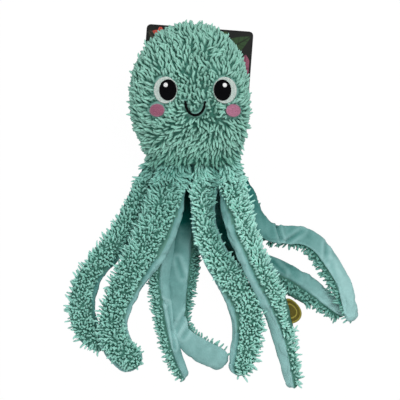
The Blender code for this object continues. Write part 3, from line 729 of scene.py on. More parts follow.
@dataclass(frozen=True)
class PlushFinish:
    """Short smooth pile, coloured from dark to light by its stored nap value, which holds painted light and
    shade; below zero that value darkens it further as painted shade, and darker colours are made richer.
    """

    name: str = "smooth_plush_pile"
    light: tuple = (166, 212, 210)
    dark: tuple = (30, 96, 89)
    richest: float = 1.28
    patch_scale: float = 70.0
    fibre_scale: float = 1500.0
    mottle: float = 0.75
    pile_height: float = 0.0004
    roughness: float = 0.85
    sheen: float = 0.08
    specular: float = 0.08

    def build(self) -> bpy.types.Material:
        """Return the material."""
        material, w, shader = new_material(self.name)
        nap = w.group("nap", {"Patch Scale": self.patch_scale, "Fibre Scale": self.fibre_scale})
        # The stored nap value is painted light and shade; the mottle added to it is a random tone of the
        # pile.
        brushed = w.node("ShaderNodeAttribute", attribute_name="nap").outputs["Fac"]
        mottle = w.math("MULTIPLY", w.math("SUBTRACT", nap.outputs["Tone"], 0.5), self.mottle)
        colour = w.mix(w.math("ADD", brushed, mottle), linear(*self.dark), linear(*self.light))
        # Painted shade: darker colours are made richer, and a nap value below zero darkens the colour
        # further.
        rich = w.math("MULTIPLY_ADD", brushed, 1.0 - self.richest, self.richest)
        deep = w.math("ADD", w.math("MINIMUM", brushed, 0.0), 1.0)
        toned = w.node("ShaderNodeHueSaturation", {"Color": colour, "Saturation": rich, "Value": deep})
        coat(w, shader, toned.outputs[0], nap.outputs["Height"], self.pile_height, {
            "Roughness": self.roughness, "Sheen Weight": self.sheen, "Specular IOR Level": self.specular})
        return material


@dataclass(frozen=True)
class ThreadFinish:
    """Embroidery thread, or a woven tape, laid in rows."""

    name: str
    light: tuple
    dark: tuple
    turn_degrees: float = 0.0
    pitch: float = 0.0006
    height: float = 0.0001
    roughness: float = 0.45
    specular: float = 0.2

    def build(self) -> bpy.types.Material:
        """Return the material."""
        material, w, shader = new_material(self.name)
        rows = w.group("thread", {"Turn": math.radians(self.turn_degrees), "Pitch": self.pitch})
        # Painted shade: the rows' tone darkens the thread between the rows.
        colour = w.mix(rows.outputs["Tone"], linear(*self.dark), linear(*self.light))
        coat(w, shader, colour, rows.outputs["Height"], self.height, {
            "Roughness": self.roughness, "Specular IOR Level": self.specular})
        return material


@dataclass(frozen=True)
class MouldedFinish:
    """Moulded plastic: a faint mottle over one colour."""

    name: str
    light: tuple
    dark: tuple
    mottle_scale: float = 90.0
    height: float = 0.00005
    roughness: float = 0.4

    def build(self) -> bpy.types.Material:
        """Return the material."""
        material, w, shader = new_material(self.name)
        nap = w.group("nap", {"Patch Scale": self.mottle_scale, "Fibre Scale": self.mottle_scale * 9.0})
        colour = w.mix(nap.outputs["Tone"], linear(*self.dark), linear(*self.light))
        coat(w, shader, colour, nap.outputs["Height"], self.height, {"Roughness": self.roughness})
        return material


@dataclass(frozen=True)
class Petal:
    """A leaf or petal of the card's print: its root, heading, length and width in metres."""

    x: float
    y: float
    heading: float
    length: float
    width: float
    colour: tuple


def blossom(x: float, y: float, size: float, colour: tuple, petals: int = 5) -> tuple[Petal, ...]:
    """Return the petals of a flower round a place."""
    return tuple(Petal(x, y, 18.0 + 360.0 * i / petals, size, size * 0.62, colour) for i in range(petals))


@dataclass(frozen=True)
class CardPrint:
    """Dark card with a plain print of leaves and blossoms."""

    name: str = "leaf_print"
    tilt_degrees: float = -4.3
    ground: tuple = (27, 31, 26)
    edge: tuple = (14, 15, 14)
    border: float = 0.0022
    half_width: float = 0.0587
    half_height: float = 0.0425
    roughness: float = 0.38
    specular: float = 0.1
    relief: float = 0.00004
    motifs: tuple = (
        Petal(0.016, 0.010, 34.0, 0.050, 0.021, (52, 78, 46)),
        Petal(0.022, -0.006, 8.0, 0.044, 0.018, (40, 64, 38)),
        Petal(0.014, 0.018, 62.0, 0.036, 0.015, (66, 92, 54)),
        Petal(0.046, -0.036, 82.0, 0.040, 0.017, (58, 84, 50)),
        Petal(-0.026, 0.010, 140.0, 0.042, 0.019, (62, 60, 50)),
        Petal(-0.040, -0.010, 104.0, 0.044, 0.016, (46, 54, 42)),
        Petal(-0.034, -0.020, 205.0, 0.032, 0.015, (52, 72, 46)),
        Petal(0.028, -0.026, -42.0, 0.036, 0.015, (50, 70, 44)),
        *blossom(0.0520, 0.0010, 0.0165, (166, 94, 118)), *blossom(0.050, -0.028, 0.0115, (150, 84, 104)),
        *blossom(-0.0435, 0.0325, 0.0095, (206, 88, 76)), *blossom(-0.050, -0.022, 0.0115, (184, 96, 100)))

    def build(self) -> bpy.types.Material:
        """Return the material."""
        material, w, shader = new_material(self.name)
        low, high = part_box("hang_card")
        centre = tuple((a + b) / 2 for a, b in zip(low, high))
        place = w.node("ShaderNodeTexCoord").outputs["Object"]
        place = w.node("ShaderNodeVectorRotate", {"Vector": place, "Center": centre,
                                                  "Angle": -math.radians(self.tilt_degrees)},
                       rotation_type="Z_AXIS").outputs[0]
        place = w.vector("SUBTRACT", place, centre)
        nap = w.group("nap", {"Patch Scale": 160.0, "Fibre Scale": 1400.0})
        colour = w.mix(nap.outputs["Tone"], linear(*self.edge), linear(*self.ground))
        for motif in self.motifs:
            petal = w.group("petal", {
                "Place": place, "Root": (motif.x, motif.y, 0.0), "Heading": math.radians(motif.heading),
                "Length": motif.length, "Width": motif.width})
            shade = w.mix(petal.outputs["Vein"], linear(*motif.colour),
                          linear(*[c * 0.6 for c in motif.colour]))
            colour = w.mix(petal.outputs["Mask"], colour, shade)
        split = w.node("ShaderNodeSeparateXYZ", {0: place})
        past = [w.math("SUBTRACT", w.math("ABSOLUTE", split.outputs[axis]), half - self.border)
                for axis, half in enumerate((self.half_width, self.half_height))]
        rim = w.math("MAXIMUM", *past)
        colour = w.mix(w.math("GREATER_THAN", rim, 0.0), colour, linear(*self.edge))
        coat(w, shader, colour, nap.outputs["Height"], self.relief, {
            "Roughness": self.roughness, "Specular IOR Level": self.specular})
        return material


# The head

@dataclass(frozen=True)
class Oval:
    """An oval on the face, seen from above."""

    x: float
    y: float
    width: float
    height: float

    @classmethod
    def of_node(cls, node: str) -> "Oval":
        """Return the oval that a CAD node fills."""
        low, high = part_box(node)
        return cls((low[0] + high[0]) / 2, (low[1] + high[1]) / 2, high[0] - low[0], high[1] - low[1])

    def off(self, points: np.ndarray) -> np.ndarray:
        """Return how far off the middle each point lies, 1 on the rim."""
        return np.hypot((points[:, 0] - self.x) / (self.width / 2),
                        (points[:, 1] - self.y) / (self.height / 2))

    def around(self, turns: np.ndarray, share: float = 1.0) -> tuple[np.ndarray, np.ndarray]:
        """Return the x and y of places on the rim, or on a smaller oval inside it."""
        return (self.x + self.width / 2 * share * np.cos(turns),
                self.y + self.height / 2 * share * np.sin(turns))

    def outside(self, points: np.ndarray) -> np.ndarray:
        """Return how far each point lies outside the rim, less than zero inside it."""
        half = min(self.width, self.height) / 2
        return (self.off(points) - 1.0) * half


@dataclass(frozen=True)
class Current:
    """A place where the pile's run was read: pixel, heading of the tips and lean from upright."""

    x: float
    y: float
    heading: float
    lean: float = 0.98


HEAD_CURRENTS = tuple(Current(*row) for row in (
    (136, 60, 138), (145, 62, 125), (152, 52, 115), (160, 58, 98), (166, 50, 120), (176, 48, 127),
    (172, 60, 125), (180, 64, 115), (190, 52, 48, 0.6), (180, 38, 170), (186, 30, 100), (193, 27, 55),
    (205, 25, 100), (200, 40, 130), (210, 42, 140), (212, 55, 25), (217, 55, 60), (225, 60, 95),
    (228, 36, 75), (236, 62, 90), (240, 75, 70), (247, 85, 95), (200, 80, 60, 0.7), (192, 76, 100, 0.7),
    (206, 72, 150, 0.7), (220, 70, 120), (186, 84, 140, 0.6), (207, 87, 60, 0.5), (145, 77, 110),
    (132, 85, 120), (140, 100, 128), (150, 100, 125), (137, 120, 128), (160, 125, 152), (145, 133, 145),
    (175, 118, 140), (185, 121, 177, 0.6), (190, 100, 125, 0.8), (205, 105, 123), (212, 116, 75, 0.5),
    (229, 121, 340), (206, 124, 255, 0.5), (218, 110, 70, 0.7), (235, 100, 60), (245, 95, 85),
    (247, 120, 40), (176, 135, 225), (175, 150, 240), (185, 150, 240), (195, 150, 240), (200, 140, 222),
    (210, 135, 230), (220, 130, 267), (215, 145, 235), (222, 145, 290), (235, 135, 305),
    (243, 140, 310), (232, 150, 310), (152, 150, 200), (160, 160, 225), (143, 143, 160),
    (150, 172, 235), (165, 174, 262), (180, 176, 290), (200, 173, 308), (211, 176, 290),
    (224, 172, 275), (238, 170, 320)))


@dataclass
class Head:
    """The head's form, its skin and its pile."""

    length: float = 0.152
    width: float = 0.130
    depth: float = 0.092
    x: float = -0.0084
    crown_x: float = -0.0035
    crown_y: float = 0.045
    back_flat: float = 0.0015
    back_level: float = 0.0013
    neck_width: float = 0.098
    neck_depth: float = 0.058
    neck_x: float = -0.0035
    neck_z: float = 0.033
    widest_share: float = 0.51
    fall_power: float = 1.6
    section_power: float = 2.3
    pile_depth: float = 0.0045
    patch_bed: float = 0.0006
    patch_slope: float = 0.004
    mouth_clear: float = 0.0017
    trim_shift: float = 0.0005
    eye_least: float = 0.020
    lay_wander: float = 0.7
    flank_lean: float = 1.4
    flank_gain: float = 0.55
    current_reach: float = 0.004
    cover_split: float = 0.8
    trim_near: float = 0.0015
    trim_far: float = 0.0065
    currents_height: float = 0.06
    spacing: float = 0.0030
    noodle_length: float = 0.0089
    noodle_radius: float = 0.00132
    crown_rows: int = 44
    neck_rows: int = 60
    sides: int = 150
    ovals: list = field(default_factory=list)
    trim: list = field(default_factory=list)
    mouth: np.ndarray | None = None

    @property
    def z(self) -> float:
        """Return the height of the head's axis at its widest."""
        return self.back_level + self.depth / 2 - self.back_flat

    def section(self, share: np.ndarray, inset: np.ndarray) -> tuple[np.ndarray, ...]:
        """Return the centre and half sizes of the head's section.

        Args:
            share: the place, from 0 at the crown to 1 at the neck.
            inset: how far the section lies inside the head's outside.

        Returns:
            The centre's x and z, the half width and the half depth.
        """
        early = np.clip(1.0 - share / self.widest_share, 0.0, 1.0)
        swell = np.sqrt(1.0 - early ** 2)
        past = np.clip((share - self.widest_share) / (1.0 - self.widest_share), 0.0, 1.0)
        fall = 0.5 * (1.0 + np.cos(math.pi * past ** self.fall_power))
        half_width = swell * (self.neck_width + (self.width - self.neck_width) * fall) / 2
        half_depth = swell * (self.neck_depth + (self.depth - self.neck_depth) * fall) / 2
        half_width = half_width * (1.0 - 2.0 * inset / self.width)
        half_depth = half_depth * (1.0 - 2.0 * inset / self.depth)
        x = self.neck_x + (self.x - self.neck_x) * fall + (self.crown_x - self.x) * (1.0 - swell)
        z = self.neck_z + (self.z - self.neck_z) * fall
        return x, z, half_width, half_depth

    def points(self, share: np.ndarray, angle: np.ndarray, inset: np.ndarray) -> np.ndarray:
        """Return points on the head, one a row."""
        x, z, half_width, half_depth = self.section(share, inset)
        cos, sin = np.cos(angle), np.sin(angle)
        power = 2.0 / self.section_power
        px = x + half_width * np.sign(cos) * np.abs(cos) ** power
        pz = z + half_depth * np.sign(sin) * np.abs(sin) ** power
        py = self.crown_y - inset - share * (self.length - inset)
        return np.stack((px, py, np.maximum(pz, self.back_level + inset)), axis=-1)

    def front_height(self, x: np.ndarray, y: np.ndarray) -> np.ndarray:
        """Return the height of the head's front over points of the ground."""
        share = (self.crown_y - y) / self.length
        centre_x, centre_z, half_width, half_depth = self.section(share, np.zeros(1))
        off = np.clip(np.abs(x - centre_x) / half_width, 0.0, 1.0)
        return centre_z + half_depth * (1.0 - off ** self.section_power) ** (1.0 / self.section_power)

    def holds(self, points: np.ndarray) -> np.ndarray:
        """Return for each point whether it lies inside the head's pile."""
        share = (self.crown_y - points[:, 1]) / self.length
        along = np.clip(share, 0.0, 1.0)
        x, z, half_width, half_depth = self.section(along, np.full(1, self.pile_depth / 2))
        off = (np.abs((points[:, 0] - x) / half_width) ** self.section_power
               + np.abs((points[:, 2] - z) / half_depth) ** self.section_power)
        return (share < 1.0) & (off < 1.0)

    def bed(self, points: np.ndarray) -> np.ndarray:
        """Return how much the cloth is raised under the stitching, from 0 to 1."""
        raised = np.zeros(len(points))
        for oval in self.ovals:
            raised = np.maximum(raised, 1.0 - ease(0.0, self.patch_slope, oval.outside(points)))
        off = np.min(np.linalg.norm(points[:, None, :2] - self.mouth[None, :, :2], axis=2), axis=1)
        raised = np.maximum(raised, 0.8 * (1.0 - ease(self.mouth_clear, 2.5 * self.mouth_clear, off)))
        return raised * (points[:, 2] > self.z)

    def skin(self, materials: dict[str, bpy.types.Material]) -> bpy.types.Object:
        """Make the padded skin under the pile."""
        turns = np.linspace(0.06, math.pi / 2, self.crown_rows)
        shares = np.concatenate((self.widest_share * (1.0 - np.cos(turns)),
                                 np.linspace(self.widest_share, 1.0, self.neck_rows)[1:]))
        angles = np.linspace(0.0, math.tau, self.sides, endpoint=False)
        share, angle = np.meshgrid(shares, angles, indexing="ij")
        share, angle = share.ravel(), angle.ravel()
        flat = self.points(share, angle, np.full(len(share), self.pile_depth))
        inset = self.pile_depth * (1.0 - self.flank_gain * np.cos(angle) ** 4)
        inset -= (inset - self.patch_bed) * self.bed(flat)
        body = self.points(share, angle, inset)
        rows = [body]
        for shrink, sag in ((0.93, 0.0008), (0.8, 0.0014), (0.55, 0.002), (0.25, 0.0024)):
            ring = body[-self.sides:].copy()
            ring[:, 0] = self.neck_x + (ring[:, 0] - self.neck_x) * shrink
            ring[:, 2] = self.neck_z + (ring[:, 2] - self.neck_z) * shrink
            ring[:, 1] -= sag
            rows.append(ring)
        crown = np.array([[self.crown_x, self.crown_y - self.pile_depth, self.z]])
        base = np.array([[self.neck_x, rows[-1][0, 1] - 0.0001, self.neck_z]])
        vertices = np.concatenate((crown, *rows, base))
        count = len(shares) + len(rows) - 1
        piece = make_object("head_skin", vertices, tube_faces(count, self.sides), [materials["backing"]])
        face_outwards(piece)
        return piece

    def run(self, points: np.ndarray, camera: "Camera") -> tuple[np.ndarray, np.ndarray]:
        """Return the pile's run at each point, level with the ground, and its lean.

        The run is short where the places round a point disagree.
        """
        places = np.array([camera.on_ground((c.x, c.y), self.currents_height) for c in HEAD_CURRENTS])
        turns = np.radians([c.heading for c in HEAD_CURRENTS])
        ways = np.stack((np.cos(turns), np.sin(turns), np.zeros(len(turns))), axis=1)
        off = np.linalg.norm(points[:, None, :2] - places[None], axis=2)
        weight = 1.0 / (off ** 2 + self.current_reach ** 2) ** 1.5
        weight /= np.sum(weight, axis=1, keepdims=True)
        run = weight @ ways
        return run, weight @ np.array([c.lean for c in HEAD_CURRENTS])

    def comb(self, piece: bpy.types.Object, camera: "Camera") -> None:
        """Store the pile's lay, density, lean, reach and painted shade, and the backing's painted light and
        shade as nap, on the skin.
        """
        p, up = points_of(piece), points_of(piece, "normal")
        away, lean = self.run(p, camera)
        agreed = ease(0.3, 0.97, lengths(away)[:, 0])
        away /= lengths(away)
        flank = 1.0 - np.abs(up[:, 2])
        away[:, 2] -= 0.55 * flank
        clear, over = np.ones(len(p)), np.zeros(len(p))
        front = p[:, 2] > self.z
        for oval in self.trim:
            outside = oval.outside(p)
            push = (1.0 - ease(self.trim_near, self.trim_far, outside)) * front
            off = p - np.array((oval.x, oval.y, 0.0))
            off[:, 2] = 0.0
            off /= lengths(off)
            if oval.width > self.eye_least:
                inner = ease(0.1, 0.7, off[:, 0] * np.sign(self.crown_x - oval.x))
                over = np.maximum(over, push * inner)
                inward = np.minimum(np.sum(away * off, axis=1), 0.0) * push * inner
                away -= 1.1 * inward[:, None] * off
                push = push * (1.0 - 1.15 * inner)
            away += 2.8 * push[:, None] * off
            clear *= np.where(front, ease(-0.0006, 0.0004, outside), 1.0)
        gap = p[:, None, :2] - self.mouth[None, :, :2]
        nearest = np.argmin(np.linalg.norm(gap, axis=2), axis=1)
        off = np.zeros_like(p)
        off[:, :2] = gap[np.arange(len(p)), nearest]
        distance = lengths(off)[:, 0]
        push = (1.0 - ease(0.0, 0.0036, distance)) * front
        away += 1.2 * push[:, None] * off / lengths(off)
        clear *= np.where(front, ease(self.mouth_clear - 0.0005, self.mouth_clear + 0.0003, distance), 1.0)
        swirl = self.lay_wander * wander(p, 0.012, 3.1) + 0.5 * self.lay_wander * wander(p, 0.005, 8.3)
        away -= up * np.sum(away * up, axis=1, keepdims=True)
        away /= lengths(away)
        side = np.cross(up, away)
        swirl += 1.7 * (1.0 - agreed) * wander(p, 0.004, 12.7)
        swirl *= 1.0 - 0.8 * push
        lay = away * np.cos(swirl)[:, None] + side * np.sin(swirl)[:, None]
        store(piece, "lay", lay)
        store(piece, "pile", clear * (p[:, 1] > self.crown_y - self.length + 0.0005))
        neck = ease(0.86, 1.0, (self.crown_y - p[:, 1]) / self.length) * front
        lean = lean * (0.25 + 0.75 * agreed) * (1.0 - 0.15 * neck) + 0.2 * wander(p, 0.008, 5.7)
        lean += (0.35 - lean) * over
        lean += (0.45 - lean) * 0.7 * push
        flank = ease(0.45, 0.9, flank)
        crown = ease(0.016, 0.042, p[:, 1])
        lean += 0.2 * crown
        store(piece, "lean", lean + (self.flank_lean - lean) * flank)
        reach = 1.0 - 0.2 * push - 0.5 * over - 0.34 * flank - 0.2 * crown * (1.0 - flank)
        store(piece, "reach", reach + 0.12 * wander(p, 0.02, 1.9))
        # Painted light: the backing's painted shade is lighter where the cloth is raised under the
        # stitching.
        store(piece, "nap", np.clip(0.12 + 0.85 * self.bed(p), 0.0, 1.0))
        store(piece, "shade", 0.5 * neck + 0.1 * (1.0 - agreed) * front)


def split_copy(piece: bpy.types.Object, name: str,
               keep: Callable[[np.ndarray], np.ndarray]) -> bpy.types.Object:
    """Return a copy of a piece with only some of its faces.

    Args:
        piece: the whole piece.
        name: the copy's name.
        keep: says for each face's centre whether it stays.

    Returns:
        The copy, with the same vertices and their attributes.
    """
    copy = piece.copy()
    copy.data = piece.data.copy()
    copy.name = name
    bpy.context.collection.objects.link(copy)
    mesh = copy.data
    centres = np.empty(len(mesh.polygons) * 3, np.float32)
    mesh.polygons.foreach_get("center", centres)
    gone = ~keep(centres.reshape(-1, 3))
    edit = bmesh.new()
    edit.from_mesh(mesh)
    edit.faces.ensure_lookup_table()
    bmesh.ops.delete(edit, geom=[edit.faces[i] for i in np.nonzero(gone)[0]], context="FACES")
    edit.to_mesh(mesh)
    edit.free()
    return copy


# The arms

@dataclass(frozen=True)
class Fold:
    """A crease in an arm's lining between two places of the photograph."""

    start_pixel: tuple[float, float]
    end_pixel: tuple[float, float]
    depth: float
    reach: float


@dataclass(frozen=True)
class ArmPlan:
    """How an arm lies.

    Each route row is a share of the arm's length to the right, one towards the
    feet, the height of the underside over the ground as a share of the arm's
    depth, and the width as a share of its width. The noodle side is the half
    section after the roll.
    """

    root_width_share: float
    roll_degrees: tuple
    route_shares: tuple
    folds: tuple = ()
    # Painted light and shade: the plush's brightness near the root and at the tip, set by how the lamps fall
    # on each arm; painted shade on the pile and on its right side; and painted shade near the root.
    brightness: float = 0.5
    far_brightness: float = 0.5
    pile_shade: float = 0.0
    right_shade: float = 0.0
    root_painted_shade: float = 0.0
    pile_reach: float = 1.0
    root_turn_degrees: float = 0.0
    root_turn_share: float = 0.2


STUFFING = Stuffing()

ARM_PLANS = {
    1: ArmPlan(0.86, (10, 12, 26, 30, 12), (
        (-0.07, 0.108, 1.05, 0.70), (-0.124, 0.226, 0.40, 0.80), (-0.199, 0.346, 0.05, 0.90),
        (-0.286, 0.455, 0.0, 0.86), (-0.333, 0.546, 0.0, 0.92), (-0.345, 0.656, 0.0, 0.97),
        (-0.32, 0.746, 0.0, 0.88), (-0.262, 0.803, 0.0, 0.70)),
        brightness=0.25, far_brightness=0.35, pile_shade=0.05, right_shade=0.5),
    2: ArmPlan(1.18, (28, 31, 34, 35, 36, 33, 27, 8, -16), (
        (-0.020, 0.062, 2.20, 1.14), (-0.045, 0.147, 2.00, 1.28), (-0.083, 0.255, 1.65, 1.32),
        (-0.124, 0.345, 1.35, 1.28), (-0.179, 0.44, 1.10, 1.20), (-0.232, 0.535, 0.85, 1.10),
        (-0.275, 0.631, 0.74, 1.03), (-0.291, 0.721, 0.74, 1.01), (-0.270, 0.811, 0.76, 1.03),
        (-0.212, 0.876, 0.60, 0.98)), brightness=0.76, far_brightness=0.72, pile_shade=0.1,
        root_turn_degrees=-30.0, root_turn_share=0.14),
    3: ArmPlan(0.70, (150, 120, 96, 86, 84, 90), (
        (-0.027, 0.101, 0.22, 0.64), (-0.035, 0.239, 0.0, 0.82), (-0.046, 0.358, 0.0, 0.81),
        (-0.066, 0.501, 0.0, 0.80), (-0.055, 0.62, 0.0, 0.77), (-0.033, 0.745, 0.0, 0.74),
        (-0.001, 0.862, 0.0, 0.68), (0.040, 0.955, 0.0, 0.56)), (
        Fold((168.5, 303.0), (175.0, 348.0), 0.0020, 0.0016),
        Fold((156.5, 297.0), (166.0, 303.0), 0.0022, 0.0018)),
        0.72, 0.70, pile_shade=0.3, root_painted_shade=0.5, pile_reach=0.75),
    4: ArmPlan(0.70, (250, 256, 254, 250, 236, 214, 206), (
        (-0.015, 0.106, 0.20, 0.66), (-0.026, 0.23, 0.0, 0.92), (-0.037, 0.363, 0.0, 0.98),
        (-0.056, 0.501, 0.0, 0.97), (-0.067, 0.602, 0.0, 0.82), (-0.067, 0.689, 0.0, 0.66),
        (-0.046, 0.770, 0.0, 0.74), (0.023, 0.830, 0.0, 0.86), (0.112, 0.877, 0.0, 0.82)), (
        Fold((176.0, 331.0), (186.0, 313.0), 0.0016, 0.0024),
        Fold((183.0, 337.0), (191.0, 326.0), 0.0014, 0.0024),
        Fold((177.0, 259.0), (183.0, 276.0), 0.0010, 0.0026)),
        0.50, 0.78, pile_shade=1.0, root_painted_shade=0.5, pile_reach=0.8),
    5: ArmPlan(1.00, (0, 0, 0, -5, -40, -48, -50), (
        (-0.012, 0.074, 2.25, 0.94), (-0.013, 0.177, 1.95, 0.80), (0.003, 0.286, 1.60, 0.85),
        (0.048, 0.39, 1.22, 0.89), (0.121, 0.501, 0.86, 1.04), (0.182, 0.621, 0.58, 1.18),
        (0.199, 0.73, 0.40, 1.12), (0.187, 0.835, 0.30, 1.02), (0.168, 0.912, 0.28, 0.90)),
        brightness=0.7, far_brightness=0.7, pile_shade=-0.2, right_shade=0.6),
    6: ArmPlan(0.92, (-50, -57, -57, -57, -72, -92, -90), (
        (0.019, 0.082, 2.05, 0.92), (0.038, 0.162, 1.90, 1.00), (0.059, 0.261, 1.62, 1.01),
        (0.102, 0.369, 1.38, 0.92), (0.151, 0.478, 1.22, 0.91), (0.204, 0.589, 0.75, 0.89),
        (0.242, 0.70, 0.15, 0.84), (0.276, 0.83, 0.0, 0.75), (0.299, 0.94, 0.0, 0.66),
        (0.308, 0.99, 0.0, 0.60)), brightness=0.82, far_brightness=0.86, pile_shade=-0.25,
        root_turn_degrees=55.0, root_turn_share=0.13),
    7: ArmPlan(0.50, (160, 150, 145, 138, 114, 114, 145), (
        (0.05, 0.10, 0.98, 0.60), (0.095, 0.20, 0.98, 0.68), (0.155, 0.27, 0.80, 0.68),
        (0.23, 0.290, 0.38, 0.68), (0.31, 0.296, 0.05, 0.72), (0.38, 0.337, 0.0, 0.78),
        (0.442, 0.425, 0.15, 0.78), (0.497, 0.525, 0.72, 0.74), (0.53, 0.615, 1.05, 0.64),
        (0.54, 0.66, 1.08, 0.56)), (
        Fold((277.5, 226.0), (282.0, 241.0), 0.0040, 0.0018),
        Fold((287.0, 242.0), (303.0, 231.0), 0.0024, 0.0022),
        Fold((327.5, 244.0), (326.0, 262.0), 0.0020, 0.0024),
        Fold((330.0, 262.0), (339.0, 287.0), 0.0010, 0.0030)), 0.42, 1.3, pile_shade=1.0),
    8: ArmPlan(0.70, (180, 168, 134, 98, 92, 96, 112), (
        (0.010, 0.075, 0.05, 0.72), (0.030, 0.194, 0.0, 0.86), (0.074, 0.309, 0.0, 0.92),
        (0.147, 0.397, 0.0, 0.88), (0.228, 0.447, 0.0, 0.99), (0.319, 0.487, 0.0, 0.99),
        (0.414, 0.542, 0.0, 0.92), (0.505, 0.604, 0.0, 0.80), (0.581, 0.657, 0.0, 0.62)), (
        Fold((273.0, 261.0), (284.0, 273.0), 0.0012, 0.0024),),
        -0.14, 1.1, pile_shade=1.0, root_painted_shade=-0.25),
}


@dataclass
class Camera:
    """The photograph's view: straight down on a ground of a set width."""

    x: float = 0.0029
    y: float = -0.1469
    height: float = 2.2
    ground_width: float = 0.44
    picture_width: float = 400.0
    sensor: float = 36.0

    def place(self) -> None:
        """Make the scene's camera."""
        data = bpy.data.cameras.new("camera")
        data.sensor_width = self.sensor
        data.lens = self.sensor * self.height / self.ground_width
        data.clip_end = 20.0
        camera = linked("camera", data)
        camera.location = (self.x, self.y, self.height)
        bpy.context.scene.camera = camera

    def on_ground(self, pixel: tuple[float, float], height: float) -> np.ndarray:
        """Return the place that a pixel shows, at a height over the ground."""
        scale = self.ground_width / self.picture_width * (1.0 - height / self.height)
        middle = self.picture_width / 2
        return np.array((self.x + (pixel[0] - middle) * scale, self.y + (middle - pixel[1]) * scale))


